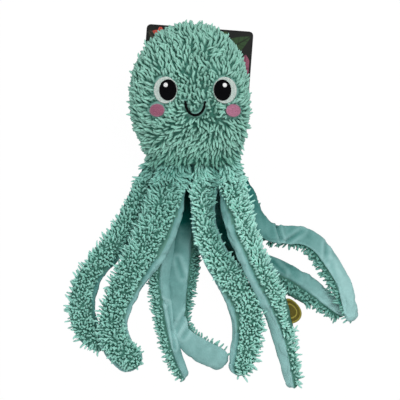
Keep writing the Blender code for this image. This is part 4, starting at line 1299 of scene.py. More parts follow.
@dataclass
class Arm:
    """One arm: a padded skin with a noodle side and a plush side, and its pile."""

    number: int
    plan: ArmPlan
    head: Head
    camera: Camera
    sweep: np.ndarray
    length: float = 0.230
    width: float = 0.033
    depth: float = 0.016
    tip_depth: float = 0.011
    ground_flat: float = 0.0005
    pile_depth: float = 0.0036
    seam_pinch: float = 0.0007
    tuck: float = 0.030
    tip_round_share: float = 0.8
    bare_margin: float = 0.12
    spacing: float = 0.0021
    noodle_length: float = 0.0080
    noodle_radius: float = 0.00112
    root_swell: float = 0.0050
    swell_reach: float = 0.028
    label_room: float = 0.010
    label_bare: float = 0.0026
    label_near: float = 0.045
    blend_reach: float = 0.012
    neck_reach: float = 0.020
    shade_reach: float = 0.045
    painted_root_shade_reach: float = 0.060
    seam_share: float = 0.38
    least_half: float = 0.0004
    rows: int = 120
    tuck_rows: int = 16
    cap_rows: int = 8
    sides: int = 56

    @property
    def name(self) -> str:
        """Return the body's name."""
        return f"arm_{self.number}"

    @property
    def root(self) -> np.ndarray:
        """Return the place of the arm's hinge."""
        return np.array(joint_with("child", self.name)["pos_m"], float)

    @property
    def heading(self) -> np.ndarray:
        """Return the level way in which the arm leaves the head."""
        first = np.array(self.plan.route_shares[0][:2]) * (1.0, -1.0)
        return first / np.linalg.norm(first)

    def spline(self, values: np.ndarray, places: np.ndarray) -> np.ndarray:
        """Return values on a smooth curve through evenly spaced ones."""
        values = np.asarray(values, float)
        spans = len(values) - 1
        span = np.minimum((places * spans).astype(int), spans - 1)
        t = places * spans - span
        if values.ndim == 2:
            t = t[:, None]
        before, a = values[np.maximum(span - 1, 0)], values[span]
        b, after = values[span + 1], values[np.minimum(span + 2, spans)]
        return 0.5 * (2 * a + (b - before) * t + (2 * before - 5 * a + 4 * b - after) * t ** 2
                      + (3 * a - before - 3 * b + after) * t ** 3)

    def stations(self) -> tuple[np.ndarray, ...]:
        """Return the arm's centre line, half widths, half depths, rolls and shares, root to tip."""
        route = np.array(self.plan.route_shares)
        down = route[:, 1] / route[-1, 1]
        depth = self.depth + (self.tip_depth - self.depth) * down
        centres = np.stack((self.root[0] + route[:, 0] * self.length,
                            self.root[1] - route[:, 1] * self.length,
                            route[:, 2] * self.depth + depth / 2 - self.ground_flat), axis=1)
        centres = np.concatenate((self.root[None], centres))
        widths = np.concatenate(([self.plan.root_width_share], route[:, 3])) * self.width
        fine = np.linspace(0.0, 1.0, 600)
        path = self.spline(centres, fine)
        runs = np.concatenate(([0.0], np.cumsum(np.linalg.norm(np.diff(path, axis=0), axis=1))))
        share = np.linspace(0.0, 1.0, self.rows)
        where = np.interp(share * runs[-1], runs, fine)
        line = self.spline(centres, where)
        rolls = np.radians(self.spline(np.array(self.plan.roll_degrees, float), share))
        turned = math.radians(self.plan.root_turn_degrees)
        rolls += turned * np.exp(-(share / self.plan.root_turn_share) ** 2)
        half_depth = (self.depth + (self.tip_depth - self.depth) * share) / 2
        if self.root[2] > self.head.neck_z:
            swell = self.root_swell * np.exp(-((self.root[1] - line[:, 1]) / self.swell_reach) ** 2)
            half_depth = half_depth + swell / 2
            line[:, 2] += swell / 2
        return line, self.spline(widths, where) / 2, half_depth, rolls, share

    def tuck_line(self, count: int) -> np.ndarray:
        """Return the centres of the stretch that is tucked into the head, inner end first."""
        first = self.heading
        t = np.linspace(1.0, 0.0, count, endpoint=False)
        y = self.root[1] + self.tuck * t
        x = self.root[0] - first[0] / first[1] * -self.tuck * t * 0.3
        x = x * (1.0 - 0.12 * t)
        z = np.full(count, self.root[2])
        if self.root[2] > self.head.neck_z:
            top = self.head.front_height(x, np.maximum(y, self.head.crown_y - self.head.length))
            z = self.root[2] + (top - self.depth / 2 - 0.002 - self.root[2]) * np.sin(t * math.pi / 2) ** 2
        return np.stack((x, y, z), axis=1)

    def skin(self, materials: dict[str, bpy.types.Material]) -> bpy.types.Object:
        """Make the padded skin, with its noodle side set in by the pile's depth."""
        line, half_width, half_depth, rolls, share = self.stations()
        tuck = self.tuck_line(self.tuck_rows)
        line = np.concatenate((tuck, line))
        grow_in = np.linspace(0.86, 1.0, self.tuck_rows)
        half_width = np.concatenate((half_width[0] * grow_in, half_width))
        half_depth = np.concatenate((np.full(self.tuck_rows, half_depth[0]), half_depth))
        rolls = np.concatenate((np.full(self.tuck_rows, rolls[0]), rolls))
        share = np.concatenate((np.full(self.tuck_rows, 0.0), share))
        ahead = np.gradient(line, axis=0)
        ahead[:, 2] = 0.0
        ahead /= lengths(ahead)
        side = np.stack((-ahead[:, 1], ahead[:, 0], np.zeros(len(ahead))), axis=1)
        turns = np.linspace(0.0, math.pi / 2, self.cap_rows + 1)[1:]
        cap = line[-1] + ahead[-1] * (half_width[-1] * self.tip_round_share * np.sin(turns))[:, None]
        size = np.concatenate((np.ones(len(line)), np.maximum(np.cos(turns), 0.06)))
        count = len(cap)
        line = np.concatenate((line, cap))
        side = np.concatenate((side, np.repeat(side[-1:], count, axis=0)))
        half_width = np.concatenate((half_width, np.full(count, half_width[-1]))) * size
        half_depth = np.concatenate((half_depth, np.full(count, half_depth[-1]))) * size
        rolls = np.concatenate((rolls, np.full(count, rolls[-1])))
        share = np.concatenate((share, np.ones(count)))
        angles = np.linspace(0.0, math.tau, self.sides, endpoint=False)
        turn = angles[None, :] - rolls[:, None]
        on_noodle = ease(-0.16, 0.16, np.sin(turn))
        pinch = self.seam_pinch * np.exp(-(np.sin(turn) / 0.13) ** 2)
        inset = self.pile_depth * on_noodle * np.minimum(1.0, size[:, None] + 0.2) + pinch
        cos, sin = np.cos(angles)[None, :], np.sin(angles)[None, :]
        outside = (line[:, None, :] + side[:, None, :] * (half_width[:, None] * cos)[:, :, None]
                   + UP * (half_depth[:, None] * sin)[:, :, None])
        _, distance = self.off_label(outside.reshape(-1, 3))
        inset = inset * ease(0.3 * self.label_room, self.label_room, distance.reshape(inset.shape))
        wide = np.maximum(half_width[:, None] - inset, self.least_half)
        deep = np.maximum(half_depth[:, None] - inset, self.least_half)
        body = (line[:, None, :] + side[:, None, :] * (wide * cos)[:, :, None]
                + UP * (deep * sin)[:, :, None])
        vertices = body.reshape(-1, 3)
        ends = np.array((line[0], line[-1]))
        ends[1] += ahead[-1] * 0.0003
        vertices = np.concatenate((ends[:1], vertices, ends[1:]))
        piece = make_object(f"{self.name}_skin", vertices, tube_faces(len(line), self.sides),
                            [materials["plush"], materials["backing"]])
        face_outwards(piece)
        self.noodle_share = np.concatenate(([0.0], on_noodle.ravel(), [0.5]))
        self.into_noodle = np.concatenate(([0.0], np.sin(turn).ravel(), [0.5]))
        round_way = side[:, None, :] * -sin[:, :, None] + UP * cos[:, :, None]
        round_way *= np.sign(np.cos(turn))[:, :, None]
        self.off_seam = np.concatenate((np.zeros((1, 3)), round_way.reshape(-1, 3), np.zeros((1, 3))))
        self.place_share = np.concatenate(([0.0], np.repeat(share, self.sides), [1.0]))
        self.outward = np.concatenate((np.zeros((1, 3)), (side[:, None, :] * cos[:, :, None]).reshape(-1, 3),
                                       ahead[-1:]))
        along = np.concatenate((ahead, np.repeat(ahead[-1:], count, axis=0)))
        self.ahead = np.concatenate((ahead[:1], np.repeat(along, self.sides, axis=0), ahead[-1:]))
        held = ease(-0.22, 0.0, self.into_noodle) + (self.place_share <= 0.0)
        STUFFING.fill(piece, np.clip(held, 0.0, 1.0))
        self.crease(piece)
        self.dress(piece)
        return piece

    def crease(self, piece: bpy.types.Object) -> None:
        """Press the folds and soft lumps into the skin and rest it on the ground."""
        p, up = points_of(piece), points_of(piece, "normal")
        plush = 1.0 - self.noodle_share
        shift = 0.0005 * wander(p, 0.016, 2.0 + self.number) + 0.0003 * wander(p, 0.007, 9.0 + self.number)
        self.fold_painted_light = np.zeros(len(p))
        for fold in self.plan.folds:
            height = float(np.median(p[:, 2]))
            start = self.camera.on_ground(fold.start_pixel, height)
            end = self.camera.on_ground(fold.end_pixel, height)
            off = segment_distance(p, start, end) / fold.reach
            crease = -fold.depth * np.exp(-off ** 2) + 0.35 * fold.depth * np.exp(-(off - 2.0) ** 2)
            shift = shift + crease * (up[:, 2] > -0.3)
            # Painted light and shade: lighter on the ridge beside each crease, darker in the crease.
            self.fold_painted_light += 0.20 * np.exp(-(off - 1.8) ** 2) - 0.10 * np.exp(-off ** 2)
        p += up * (shift * plush)[:, None]
        p[:, 2] = np.maximum(p[:, 2], FLOOR_CLEARANCE)
        move_points(piece, p)

    def dress(self, piece: bpy.types.Object) -> None:
        """Give each face its cloth by the side of the seam that it is on."""
        for face in piece.data.polygons:
            noodle = np.mean([self.noodle_share[v] for v in face.vertices])
            face.material_index = int(noodle > 0.5)

    def off_label(self, points: np.ndarray) -> tuple[np.ndarray, np.ndarray]:
        """Return each point's way off the room that the label swings through, and its distance."""
        middle = np.mean(self.sweep, axis=0)
        off = points - middle
        near = np.nonzero(np.linalg.norm(off, axis=1) < self.label_near)[0]
        distance = np.full(len(points), 1.0)
        if len(near):
            gaps = np.linalg.norm(points[near][:, None] - self.sweep[None], axis=2)
            nearest = np.argmin(gaps, axis=1)
            distance[near] = gaps[np.arange(len(near)), nearest]
            off[near] = points[near] - self.sweep[nearest]
        return off / lengths(off), distance

    def comb(self, piece: bpy.types.Object) -> None:
        """Store the pile's lay, density, lean, reach and painted shade, and the plush's painted light and
        shade as nap, on the skin.
        """
        p, up = points_of(piece), points_of(piece, "normal")
        near = 1.0 - ease(0.25, 0.65, self.place_share)
        back = (1.0 - 0.9 * self.place_share + 0.4 * near)[:, None]
        lay = self.outward * 0.7 - self.ahead * back
        swirl = 0.8 * wander(p, 0.013, 4.0 + self.number) + 0.4 * wander(p, 0.005, 6.0 + self.number)
        swirl *= 1.0 - 0.4 * near
        lay -= up * np.sum(lay * up, axis=1, keepdims=True)
        lay /= lengths(lay)
        across = np.cross(up, lay)
        lay = lay * np.cos(swirl)[:, None] + across * np.sin(swirl)[:, None]
        seam = np.exp(-(self.into_noodle / self.seam_share) ** 2) * (up[:, 2] > 0.0)
        lay = between(lay, self.off_seam, seam)
        neck = np.exp(-np.maximum(self.root[1] + 0.004 - p[:, 1], 0.0) / self.neck_reach)
        run, _ = self.head.run(p, self.camera)
        lay = between(lay, run, 0.9 * neck)
        off, distance = self.off_label(p)
        off -= up * np.sum(off * up, axis=1, keepdims=True)
        close = 1.0 - ease(0.4 * self.label_room, self.label_room, distance)
        lay = between(lay, off / lengths(off), close)
        store(piece, "lay", lay / lengths(lay))
        grown = (self.into_noodle > self.bare_margin) * ~self.head.holds(p) * (distance > self.label_bare)
        store(piece, "pile", grown)
        edge = 1.0 - np.abs(up[:, 2])
        lean = 0.28 + 0.25 * edge + 0.36 * near + 0.35 * neck + 0.28 * wander(p, 0.009, 5.0 + self.number)
        store(piece, "lean", lean + (1.15 - lean) * close)
        reach = self.plan.pile_reach * (1.0 + 0.18 * neck + 0.12 * wander(p, 0.02, 1.0 + self.number))
        store(piece, "reach", reach * (1.0 - 0.4 * close))
        plan = self.plan
        dim = plan.pile_shade * (1.0 - 0.6 * self.place_share)
        right = plan.right_shade * ease(0.0, 0.7, self.outward[:, 0])
        dim = dim + right * (1.0 - ease(0.4, 0.7, self.place_share))
        store(piece, "shade", np.clip(dim + 0.42 * neck, -0.3, 1.0))
        # Painted light and shade on the plush: darker near the root, each arm's brightness set by how the
        # lamps fall on it, lighter along the seam, lighter on fold ridges and darker in creases, with a
        # random tone.
        shade = 1.0 - 0.95 * np.exp(-np.maximum(self.root[1] - p[:, 1], 0.0) / self.shade_reach)
        level = plan.brightness + (plan.far_brightness - plan.brightness) * self.place_share ** 2
        level = level * shade + 0.10 * wander(p, 0.014, 3.0 + self.number)
        level += 0.14 * np.exp(-(self.into_noodle / 0.3) ** 2) + self.fold_painted_light
        # Painted shade near the root, deeper for some arms and lighter for arm 8.
        painted_root_shade = plan.root_painted_shade * np.exp(-((self.root[1] - p[:, 1]) / self.painted_root_shade_reach) ** 4)
        smooth = (np.clip(level, 0.0, 1.0) - painted_root_shade) * (1.0 - self.noodle_share)
        store(piece, "nap", smooth + 0.22 * self.noodle_share)

    def build(self, materials: dict[str, bpy.types.Material], tree: bpy.types.NodeTree) -> None:
        """Make the arm's skin and pile, bake them in place and hide the CAD nodes that they stand for."""
        skin = self.skin(materials)
        self.comb(skin)
        pile = grow(f"{self.name}_pile", skin, tree, {
            "Spacing": self.spacing, "Length": self.noodle_length, "Radius": self.noodle_radius,
            "Stray": 0.34, "Curl": 0.6, "Wave": 0.03, "Droop": 0.0, "Lowest": 0.0, "Points": 6,
            "Seed": self.number, "Finish": materials["arm_noodle"]})
        drop_pile_fields(skin)
        for piece in (skin, pile):
            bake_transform(piece)
        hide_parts(f"{self.name}_lining", f"{self.name}_filling")
        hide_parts(f"{self.name}_cover")
        log.info("%s: %d faces of skin, %d of pile", self.name, len(skin.data.polygons),
                 len(pile.data.polygons))


# The face

class Threads(Enum):
    """How a patch's satin threads run, in degrees from level."""

    LEVEL = 0.0
    DIAGONAL = 38.0
    UPRIGHT = 90.0


def stitched(name: str, places: np.ndarray, spans: np.ndarray, rises: np.ndarray, radius: float,
             tree: bpy.types.NodeTree, finish: bpy.types.Material) -> bpy.types.Object:
    """Lay a thread over each place of a row of stitches.

    Args:
        name: the new piece's name.
        places: the middle of each stitch.
        spans: each stitch from end to end.
        rises: how far and which way each middle stands up.
        radius: the thread's radius.
        tree: the tree that lays the threads.
        finish: the thread's material.

    Returns:
        The threads as one mesh.
    """
    row = make_object(f"{name}_row", places, [], [])
    store(row, "span", spans)
    store(row, "rise", rises)
    threads = grow(name, row, tree, {"Radius": radius, "Points": 5, "Sides": 6, "Finish": finish})
    bpy.data.objects.remove(row)
    return threads


@dataclass
class Patch:
    """An embroidered oval of the face: a crowned pad, satin threads over it and a stitched rim."""

    node: str
    head: Head
    layer: int
    run: Threads
    slot: Slot
    gap: float = 0.0003
    thickness: float = 0.001
    crown: float = 0.0005
    sink: float = 0.0008
    pitch: float = 0.00052
    thread: float = 0.00030
    stitch: float = 0.0055
    rim: float = 0.0017
    fill_rise: float = 0.00006
    rim_rise: float = 0.00042
    rings: int = 9
    sides: int = 48

    @property
    def oval(self) -> Oval:
        """Return the patch's outline."""
        return Oval.of_node(self.node)

    def level(self, points: np.ndarray) -> np.ndarray:
        """Return the height of the pad's top at points of its outline."""
        off = self.oval.off(points)
        low = self.gap + self.layer * (self.thickness + self.gap)
        rise = self.thickness - self.crown + self.crown * np.sqrt(np.clip(1.0 - off ** 2, 0.0, 1.0))
        return self.head.front_height(points[:, 0], points[:, 1]) + low + rise

    def pad(self, material: bpy.types.Material) -> bpy.types.Object:
        """Make the crowned pad under the threads."""
        oval = self.oval
        turns = np.linspace(0.0, math.tau, self.sides, endpoint=False)
        rows = []
        for share in np.linspace(0.06, 1.0, self.rings):
            ring = np.stack(oval.around(turns, share), axis=1)
            rows.append(np.column_stack((ring, self.level(ring))))
        for share in (1.0, 0.5):
            low = rows[-1].copy()
            low[:, 0], low[:, 1] = oval.around(turns, share)
            low[:, 2] = self.head.front_height(low[:, 0], low[:, 1]) - self.sink
            rows.append(low)
        middle = np.array([[oval.x, oval.y]])
        top = np.column_stack((middle, self.level(middle)))
        base = np.column_stack((middle, self.head.front_height(middle[:, 0], middle[:, 1]) - self.sink))
        piece = make_object(f"{self.node}_pad", np.concatenate((top, *rows, base)),
                            tube_faces(len(rows), self.sides), [material])
        face_outwards(piece)
        return piece

    def rows(self) -> tuple[np.ndarray, np.ndarray]:
        """Return the two ends of each satin thread, in staggered rows."""
        oval = self.oval
        turn = math.radians(self.run.value)
        along = np.array((math.cos(turn), math.sin(turn)))
        across = np.array((-math.sin(turn), math.cos(turn)))
        half = np.array((oval.width, oval.height)) / 2
        reach = math.hypot(*(across * half))
        starts, ends = [], []
        count = int(reach / self.pitch)
        for row in range(-count, count + 1):
            line = np.linspace(-1.0, 1.0, 400)[:, None] * along * max(half) * 1.2 + across * row * self.pitch
            inside = line[np.sum((line / half) ** 2, axis=1) < 0.97]
            if len(inside) < 4:
                continue
            first, last = inside[0], inside[-1]
            span = float(np.linalg.norm(last - first))
            marks = np.arange((row * 0.37 % 1.0) * self.stitch, span, self.stitch)
            marks = np.concatenate(([0.0], marks[(marks > 0.001) & (marks < span - 0.001)], [span]))
            for a, b in zip(marks[:-1], marks[1:]):
                starts.append(first + along * a)
                ends.append(first + along * b)
        middle = np.array((oval.x, oval.y))
        return np.array(starts) + middle, np.array(ends) + middle

    def build(self, thread: bpy.types.Material, edge: bpy.types.Material, tree: bpy.types.NodeTree) -> None:
        """Make the patch and let it stand for its node."""
        oval = self.oval
        starts, ends = self.rows()
        a, b = np.column_stack((starts, self.level(starts))), np.column_stack((ends, self.level(ends)))
        middle = (a + b) / 2
        rises = np.zeros_like(middle)
        rises[:, 2] = self.level(middle) - middle[:, 2] + self.fill_rise
        fill = stitched(f"{self.node}_fill", middle, b - a, rises, self.thread, tree, thread)
        count = int(math.pi * (oval.width + oval.height) / 2 / (self.thread * 1.75))
        turns = np.linspace(0.0, math.tau, count, endpoint=False) + 0.02 * np.sin(np.arange(count) * 2.4)
        out = np.stack((np.cos(turns) * oval.height, np.sin(turns) * oval.width), axis=1)
        out /= lengths(out)
        ring = np.stack(oval.around(turns), axis=1)
        inner, outer = ring - out * self.rim * 0.7, ring + out * self.rim * 0.3
        tops = self.level(inner)
        floor = self.head.front_height(outer[:, 0], outer[:, 1])
        floor = floor + self.gap + self.layer * self.thickness - 0.0003
        a, b = np.column_stack((inner, tops)), np.column_stack((outer, floor))
        rises = np.column_stack((out * 0.0001, np.full(count, self.rim_rise)))
        rim = stitched(f"{self.node}_rim", (a + b) / 2, b - a, rises, self.thread, tree, edge)
        piece = joined(f"{self.node}_satin", (self.pad(thread), fill, rim))
        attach(piece, "head")
        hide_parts(self.node)
        log.info("%s: %d threads", piece.name, len(starts) + count)


@dataclass
class Mouth:
    """The smile: a satin column of short slanted threads over a cord."""

    head: Head
    line: np.ndarray
    level: float = 0.0011
    width: float = 0.0027
    pitch: float = 0.00036
    thread: float = 0.00028
    slant: float = 0.35
    rise: float = 0.00045
    core_share: float = 0.42

    def build(self, finish: bpy.types.Material, tree: bpy.types.NodeTree) -> None:
        """Make the smile and let it stand for its node."""
        run = np.concatenate(([0.0], np.cumsum(np.linalg.norm(np.diff(self.line, axis=0), axis=1))))
        marks = np.arange(0.0, run[-1], self.pitch)
        place = np.stack([np.interp(marks, run, self.line[:, axis]) for axis in (0, 1)], axis=1)
        ahead = np.gradient(place, axis=0)
        ahead /= lengths(ahead)
        across = np.stack((-ahead[:, 1], ahead[:, 0]), axis=1) + self.slant * ahead
        across *= self.width
        height = self.head.front_height(place[:, 0], place[:, 1]) + self.level
        middle = np.column_stack((place, height))
        spans = np.column_stack((across, np.zeros(len(place))))
        rises = np.column_stack((np.zeros((len(place), 2)), np.full(len(place), self.rise)))
        satin = stitched("smile_satin", middle, spans, rises, self.thread, tree, finish)
        core_spans = np.column_stack((ahead * self.pitch * 3.0, np.zeros(len(place))))
        core = stitched("smile_core", middle, core_spans, rises * 0.2, self.width * self.core_share, tree,
                        finish)
        piece = joined("smile", (satin, core))
        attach(piece, "head")
        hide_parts("mouth_stitch")
        log.info("%s: %d threads", piece.name, len(marks))


# The label

@dataclass
class Label:
    """The half-oval label in an arm's outer seam: a woven leaf with a raised rim."""

    length: float = 0.028
    reach: float = 0.0135
    thickness: float = 0.0008
    rim: float = 0.0021
    rim_height: float = 0.0005
    hem: float = 0.0014
    skew: float = 0.22
    inner_ring: float = 0.0056
    inner_width: float = 0.0007
    hem_reach: float = 0.002
    ripple: float = 0.00012
    ripple_rate: float = 380.0
    thread: float = 0.0003
    stitch_lift: float = 0.0001
    stitch_rise: float = 0.0005
    turns: int = 40
    rings: int = 22

    def frame(self) -> tuple[np.ndarray, np.ndarray, np.ndarray]:
        """Return the label's hinge, the way along it and the way out."""
        joint = joint_with("name", "label_flap")
        along = np.array(joint["axis"], float)
        along /= np.linalg.norm(along)
        out = np.cross(UP, along)
        low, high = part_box("side_label")
        middle = (np.array(low) + np.array(high)) / 2
        hinge = np.array(joint["pos_m"], float)
        if (middle - hinge) @ out < 0.0:
            out = -out
        return hinge, along, out

    def outline(self, turn: float) -> tuple[float, float]:
        """Return the rim's place along the hinge and out from it, fuller towards the arm's tip."""
        full = 1.0 - 0.75 * self.skew + self.skew * math.cos(turn)
        return self.length / 2 * math.cos(turn), self.reach * math.sin(turn) * full

    def sweep(self) -> np.ndarray:
        """Return points that fill the room the label swings through."""
        hinge, along, out = self.frame()
        joint = joint_with("name", "label_flap")
        swings = np.radians(np.linspace(*joint["range_deg"], 11))
        places = []
        for share in np.linspace(-1.0, 1.0, 15):
            reach = self.reach * math.sqrt(1.0 - share * share)
            for far in np.linspace(0.0, reach, 8):
                for swing in swings:
                    way = out * math.cos(swing) + UP * math.sin(swing)
                    places.append(hinge + along * (share * self.length / 2) + way * far)
        return np.array(places)

    def build(self, finish: bpy.types.Material, edge: bpy.types.Material, tree: bpy.types.NodeTree) -> None:
        """Make the label and let it stand for its node."""
        hinge, along, out = self.frame()
        half = self.thickness / 2
        spread = np.linspace(0.0, 1.0, self.rings)
        grid, rise = [], []
        for share in spread:
            for turn in np.linspace(0.0, math.pi, self.turns):
                x, y = (share * rim for rim in self.outline(turn))
                edge_off = (1.0 - share) * self.reach
                crown = (math.exp(-((edge_off - self.rim / 2) / (self.rim / 2)) ** 2)
                         + 0.7 * math.exp(-((edge_off - self.inner_ring) / self.inner_width) ** 2))
                ripple = self.ripple * math.sin(x * self.ripple_rate)
                grid.append(hinge + along * x + out * (y - self.hem * math.exp(-(y / self.hem_reach) ** 2)))
                rise.append((crown * self.rim_height, ripple))
        grid, rise = np.array(grid), np.array(rise)
        top = grid + UP * (half + rise[:, :1] + rise[:, 1:])
        under = grid - UP * (half + rise[:, :1] * 0.4 - rise[:, 1:])
        count = len(grid)
        faces = []
        for i in range(self.rings - 1):
            for j in range(self.turns - 1):
                a, b = i * self.turns + j, (i + 1) * self.turns + j
                faces.append((a, b, b + 1, a + 1))
                faces.append((count + a, count + a + 1, count + b + 1, count + b))
        last = (self.rings - 1) * self.turns
        for j in range(self.turns - 1):
            faces.append((last + j, count + last + j, count + last + j + 1, last + j + 1))
        for i in range(self.rings - 1):
            for j in (0, self.turns - 1):
                a, b = i * self.turns + j, (i + 1) * self.turns + j
                faces.append((a, count + a, count + b, b) if j == 0 else (a, b, count + b, count + a))
        leaf = make_object("label_leaf", np.concatenate((top, under)), faces, [finish, edge])
        shares = np.repeat(spread, self.turns)
        shares = np.concatenate((shares, shares))
        for face in leaf.data.polygons:
            off = (1.0 - np.mean([shares[v] for v in face.vertices])) * self.reach
            face.material_index = int(off < self.rim or abs(off - self.inner_ring) < self.inner_width)
        bpy.context.view_layer.update()
        edit = bmesh.new()
        edit.from_mesh(leaf.data)
        bmesh.ops.remove_doubles(edit, verts=edit.verts, dist=0.00001)
        bmesh.ops.recalc_face_normals(edit, faces=edit.faces)
        edit.to_mesh(leaf.data)
        edit.free()
        turns = np.linspace(0.04, math.pi - 0.04, 64)
        radial = np.stack([along * (math.cos(t) * self.reach) + out * (math.sin(t) * self.length / 2)
                           for t in turns])
        radial /= lengths(radial)
        ring = np.stack([hinge + along * self.outline(t)[0] + out * self.outline(t)[1] for t in turns])
        ring -= radial * self.rim * 0.35
        rises = np.tile(UP * self.stitch_rise, (len(turns), 1))
        stitches = stitched("label_stitches", ring + UP * (half + self.stitch_lift), radial * self.rim * 0.8,
                            rises, self.thread, tree, edge)
        piece = joined("seam_label", (leaf, stitches))
        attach(piece, "label")
        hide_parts("side_label")
        log.info("%s: %d faces", piece.name, len(piece.data.polygons))


# The studio

@dataclass
class Studio:
    """A plain white floor and soft lamps from above."""

    floor_size: float = 4.0
    sky: float = 0.34
    floor_glow: float = 0.97
    floor_light: float = 1.02

    def build(self) -> None:
        """Make the floor, the lamps and the world."""
        half = self.floor_size / 2
        floor = make_object("floor", np.array(((-half, -half, 0.0), (half, -half, 0.0), (half, half, 0.0),
                                               (-half, half, 0.0))), [(0, 1, 2, 3)], [self.floor_paint()])
        self.lamp("key", (0.50, 0.40, 1.5), 0.7, 14.0)
        self.lamp("fill", (-0.9, -0.4, 1.4), 1.2, 5.0)
        world = bpy.data.worlds.new("studio")
        bpy.context.scene.world = world
        world.use_nodes = True
        w = Wiring(world.node_tree)
        light = w.node("ShaderNodeLightPath")
        mirrored = w.math("MAXIMUM", light.outputs["Is Glossy Ray"], light.outputs["Is Transmission Ray"])
        seen = w.math("MAXIMUM", light.outputs["Is Camera Ray"], mirrored)
        shader = world.node_tree.nodes["Background"]
        shader.inputs["Color"].default_value = (1.0, 1.0, 1.0, 1.0)
        w.feed(shader.inputs["Strength"], w.math("MULTIPLY_ADD", seen, 1.0 - self.sky, self.sky))

    def floor_paint(self) -> bpy.types.Material:
        """Return the floor's paint, which shows white to the camera and keeps the shadow."""
        material, w, shader = new_material("floor_paint")
        shader.inputs["Base Color"].default_value = (0.55, 0.55, 0.55, 1.0)
        shader.inputs["Roughness"].default_value = 0.9
        light = w.node("ShaderNodeLightPath")
        glow = w.node("ShaderNodeEmission", {"Color": (1.0, 1.0, 1.0, 1.0), "Strength": self.floor_light})
        mix = w.node("ShaderNodeMixShader")
        w.feed(mix.inputs[0], w.math("MULTIPLY", light.outputs["Is Camera Ray"], self.floor_glow))
        w.feed(mix.inputs[1], shader.outputs[0])
        w.feed(mix.inputs[2], glow.outputs[0])
        w.feed(material.node_tree.nodes["Material Output"].inputs["Surface"], mix.outputs[0])
        return material

    def lamp(self, name: str, place: tuple, size: float, power: float) -> None:
        """Hang a square lamp that looks at the toy."""
        data = bpy.data.lights.new(name, "AREA")
        data.size = size
        data.energy = power
        lamp = linked(name, data)
        lamp.location = place
        lamp.rotation_mode = "QUATERNION"
        aim = Vector((0.0, -0.15, 0.03)) - Vector(place)
        lamp.rotation_quaternion = aim.to_track_quat("-Z", "Y")


def finishes() -> dict[str, bpy.types.Material]:
    """Build every finish of the toy, by name."""
    return {
        "noodle": NoodleFinish().build(),
        "arm_noodle": NoodleFinish("arm_noodle_yarn", (176, 232, 220), (56, 126, 113), tip_end=0.62).build(),
        "plush": PlushFinish().build(),
        # Painted shade: the backing under the noodles is a darker green so that the gaps between them read
        # dark.
        "backing": PlushFinish("noodle_backing", (140, 190, 178), (48, 108, 93), richest=1.0).build(),
        "patch": ThreadFinish("eye_patch_thread", (220, 231, 226), (178, 197, 190)).build(),
        "patch_rim": ThreadFinish("eye_rim_thread", (236, 242, 238), (206, 218, 212)).build(),
        "iris": ThreadFinish("iris_thread", (14, 14, 17), (4, 4, 5), roughness=0.6, specular=0.03).build(),
        "highlight": ThreadFinish("highlight_thread", (255, 255, 255), (246, 247, 248)).build(),
        # Painted light and shade: one cheek thread, darker on the left cheek and lighter on the right, as
        # the lamps fall.
        "left_cheek": ThreadFinish("left_cheek_thread", (188, 122, 146), (152, 90, 114), 38.0).build(),
        "right_cheek": ThreadFinish("right_cheek_thread", (206, 142, 168), (170, 108, 136), 38.0).build(),
        "cheek_rim": ThreadFinish("cheek_rim_thread", (186, 142, 158), (150, 116, 130)).build(),
        "smile": ThreadFinish("smile_thread", (10, 14, 14), (4, 6, 6), roughness=0.6, specular=0.03).build(),
        "label": ThreadFinish("label_weave", (104, 94, 24), (66, 60, 9), 20.0, 0.0005).build(),
        "label_rim": ThreadFinish("label_rim_thread", (176, 165, 76), (134, 123, 42), 20.0, 0.0005).build(),
        "card": CardPrint().build(),
        "tack": MouldedFinish("tack_nylon", (226, 230, 230), (196, 202, 204), roughness=0.3).build(),
        "vinyl": MouldedFinish("squeaker_vinyl", (232, 226, 206), (206, 198, 176), roughness=0.45).build(),
    }


def build_head(head: Head, camera: Camera, materials: dict[str, bpy.types.Material],
               tree: bpy.types.NodeTree) -> None:
    """Make the head's padded skin and its pile, front and back."""
    skin = head.skin(materials)
    head.comb(skin, camera)
    split = head.z * head.cover_split
    for part, keep in (("front", lambda c: c[:, 2] > split), ("back", lambda c: c[:, 2] <= split)):
        ground = split_copy(skin, f"{part}_ground", keep)
        pile = grow(f"head_{part}_pile", ground, tree, {
            "Spacing": head.spacing, "Length": head.noodle_length, "Radius": head.noodle_radius,
            "Stray": 0.27, "Curl": 0.7, "Wave": 0.06, "Droop": 0.03, "Lowest": head.back_level, "Points": 7,
            "Seed": 20, "Finish": materials["noodle"]})
        bpy.data.objects.remove(ground)
        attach(pile, "head")
        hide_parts(f"head_{part}_cover")
        log.info("%s: %d faces", pile.name, len(pile.data.polygons))
    drop_pile_fields(skin)
    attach(skin, "head")
    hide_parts("base_panel", "head_filling", "closing_wad")


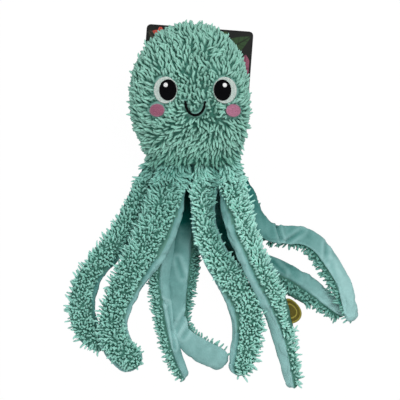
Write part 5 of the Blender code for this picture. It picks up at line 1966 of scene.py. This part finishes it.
def build_face(head: Head, materials: dict[str, bpy.types.Material], tree: bpy.types.NodeTree) -> None:
    """Make the embroidered face."""
    for side in ("left", "right"):
        Patch(f"{side}_eye_patch", head, 0, Threads.UPRIGHT, Slot.WHITE).build(
            materials["patch"], materials["patch_rim"], tree)
        Patch(f"{side}_iris", head, 1, Threads.LEVEL, Slot.BLACK, rim=0.0012).build(
            materials["iris"], materials["iris"], tree)
        Patch(f"{side}_highlight", head, 2, Threads.LEVEL, Slot.WHITE, rim=0.0008, rings=4, sides=24).build(
            materials["highlight"], materials["highlight"], tree)
        Patch(f"{side}_cheek", head, 0, Threads.DIAGONAL, Slot.PINK, rim=0.0012).build(
            materials[f"{side}_cheek"], materials["cheek_rim"], tree)
    Mouth(head, head.mouth).build(materials["smile"], tree)


def dress_kept_nodes(materials: dict[str, bpy.types.Material]) -> None:
    """Give each CAD solid that stays in view, or inside, its finish."""
    for node, finish in (("hang_card", "card"), ("card_tack", "tack"), ("squeaker_bulb", "vinyl"),
                         ("squeaker_reed", "vinyl")):
        for place in frame["nodes"][node].material_slots:
            place.material = materials[finish]
        log.info("%s: dressed in %s", node, materials[finish].name)


def main() -> None:
    """Build the toy's looks in order."""
    logging.basicConfig(level=logging.INFO, format="%(name)s: %(message)s")
    GROUPS["nap"] = nap_group()
    GROUPS["thread"] = thread_group()
    GROUPS["petal"] = petal_group()
    materials = finishes()
    bpy.context.scene.view_settings.view_transform = "Standard"
    camera = Camera()
    camera.place()
    Studio().build()
    noodles, stitches = strand_tree(), stitch_tree()
    head = Head()
    head.ovals = [Oval.of_node(f"{side}_{patch}") for side in ("left", "right")
                  for patch in ("eye_patch", "cheek")]
    head.trim = [replace(oval, x=oval.x + way * head.trim_shift, width=oval.width - 2 * head.trim_shift)
                 if oval.width > head.eye_least else oval for oval, way in zip(head.ovals, (-1, -1, 1, 1))]
    low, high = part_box("mouth_stitch")
    turns = np.linspace(math.pi, math.tau, 41)
    middle, half_width = (low[0] + high[0]) / 2, (high[0] - low[0] - 2 * MOUTH_INSET) / 2
    head.mouth = np.stack((middle + half_width * np.cos(turns),
                           high[1] + (high[1] - low[1] - MOUTH_INSET) * np.sin(turns)), axis=1)
    build_head(head, camera, materials, noodles)
    build_face(head, materials, stitches)
    label = Label()
    for number, plan in ARM_PLANS.items():
        Arm(number, plan, head, camera, label.sweep()).build(materials, noodles)
    label.build(materials["label"], materials["label_rim"], stitches)
    dress_kept_nodes(materials)


if __name__ == "__main__":
    main()
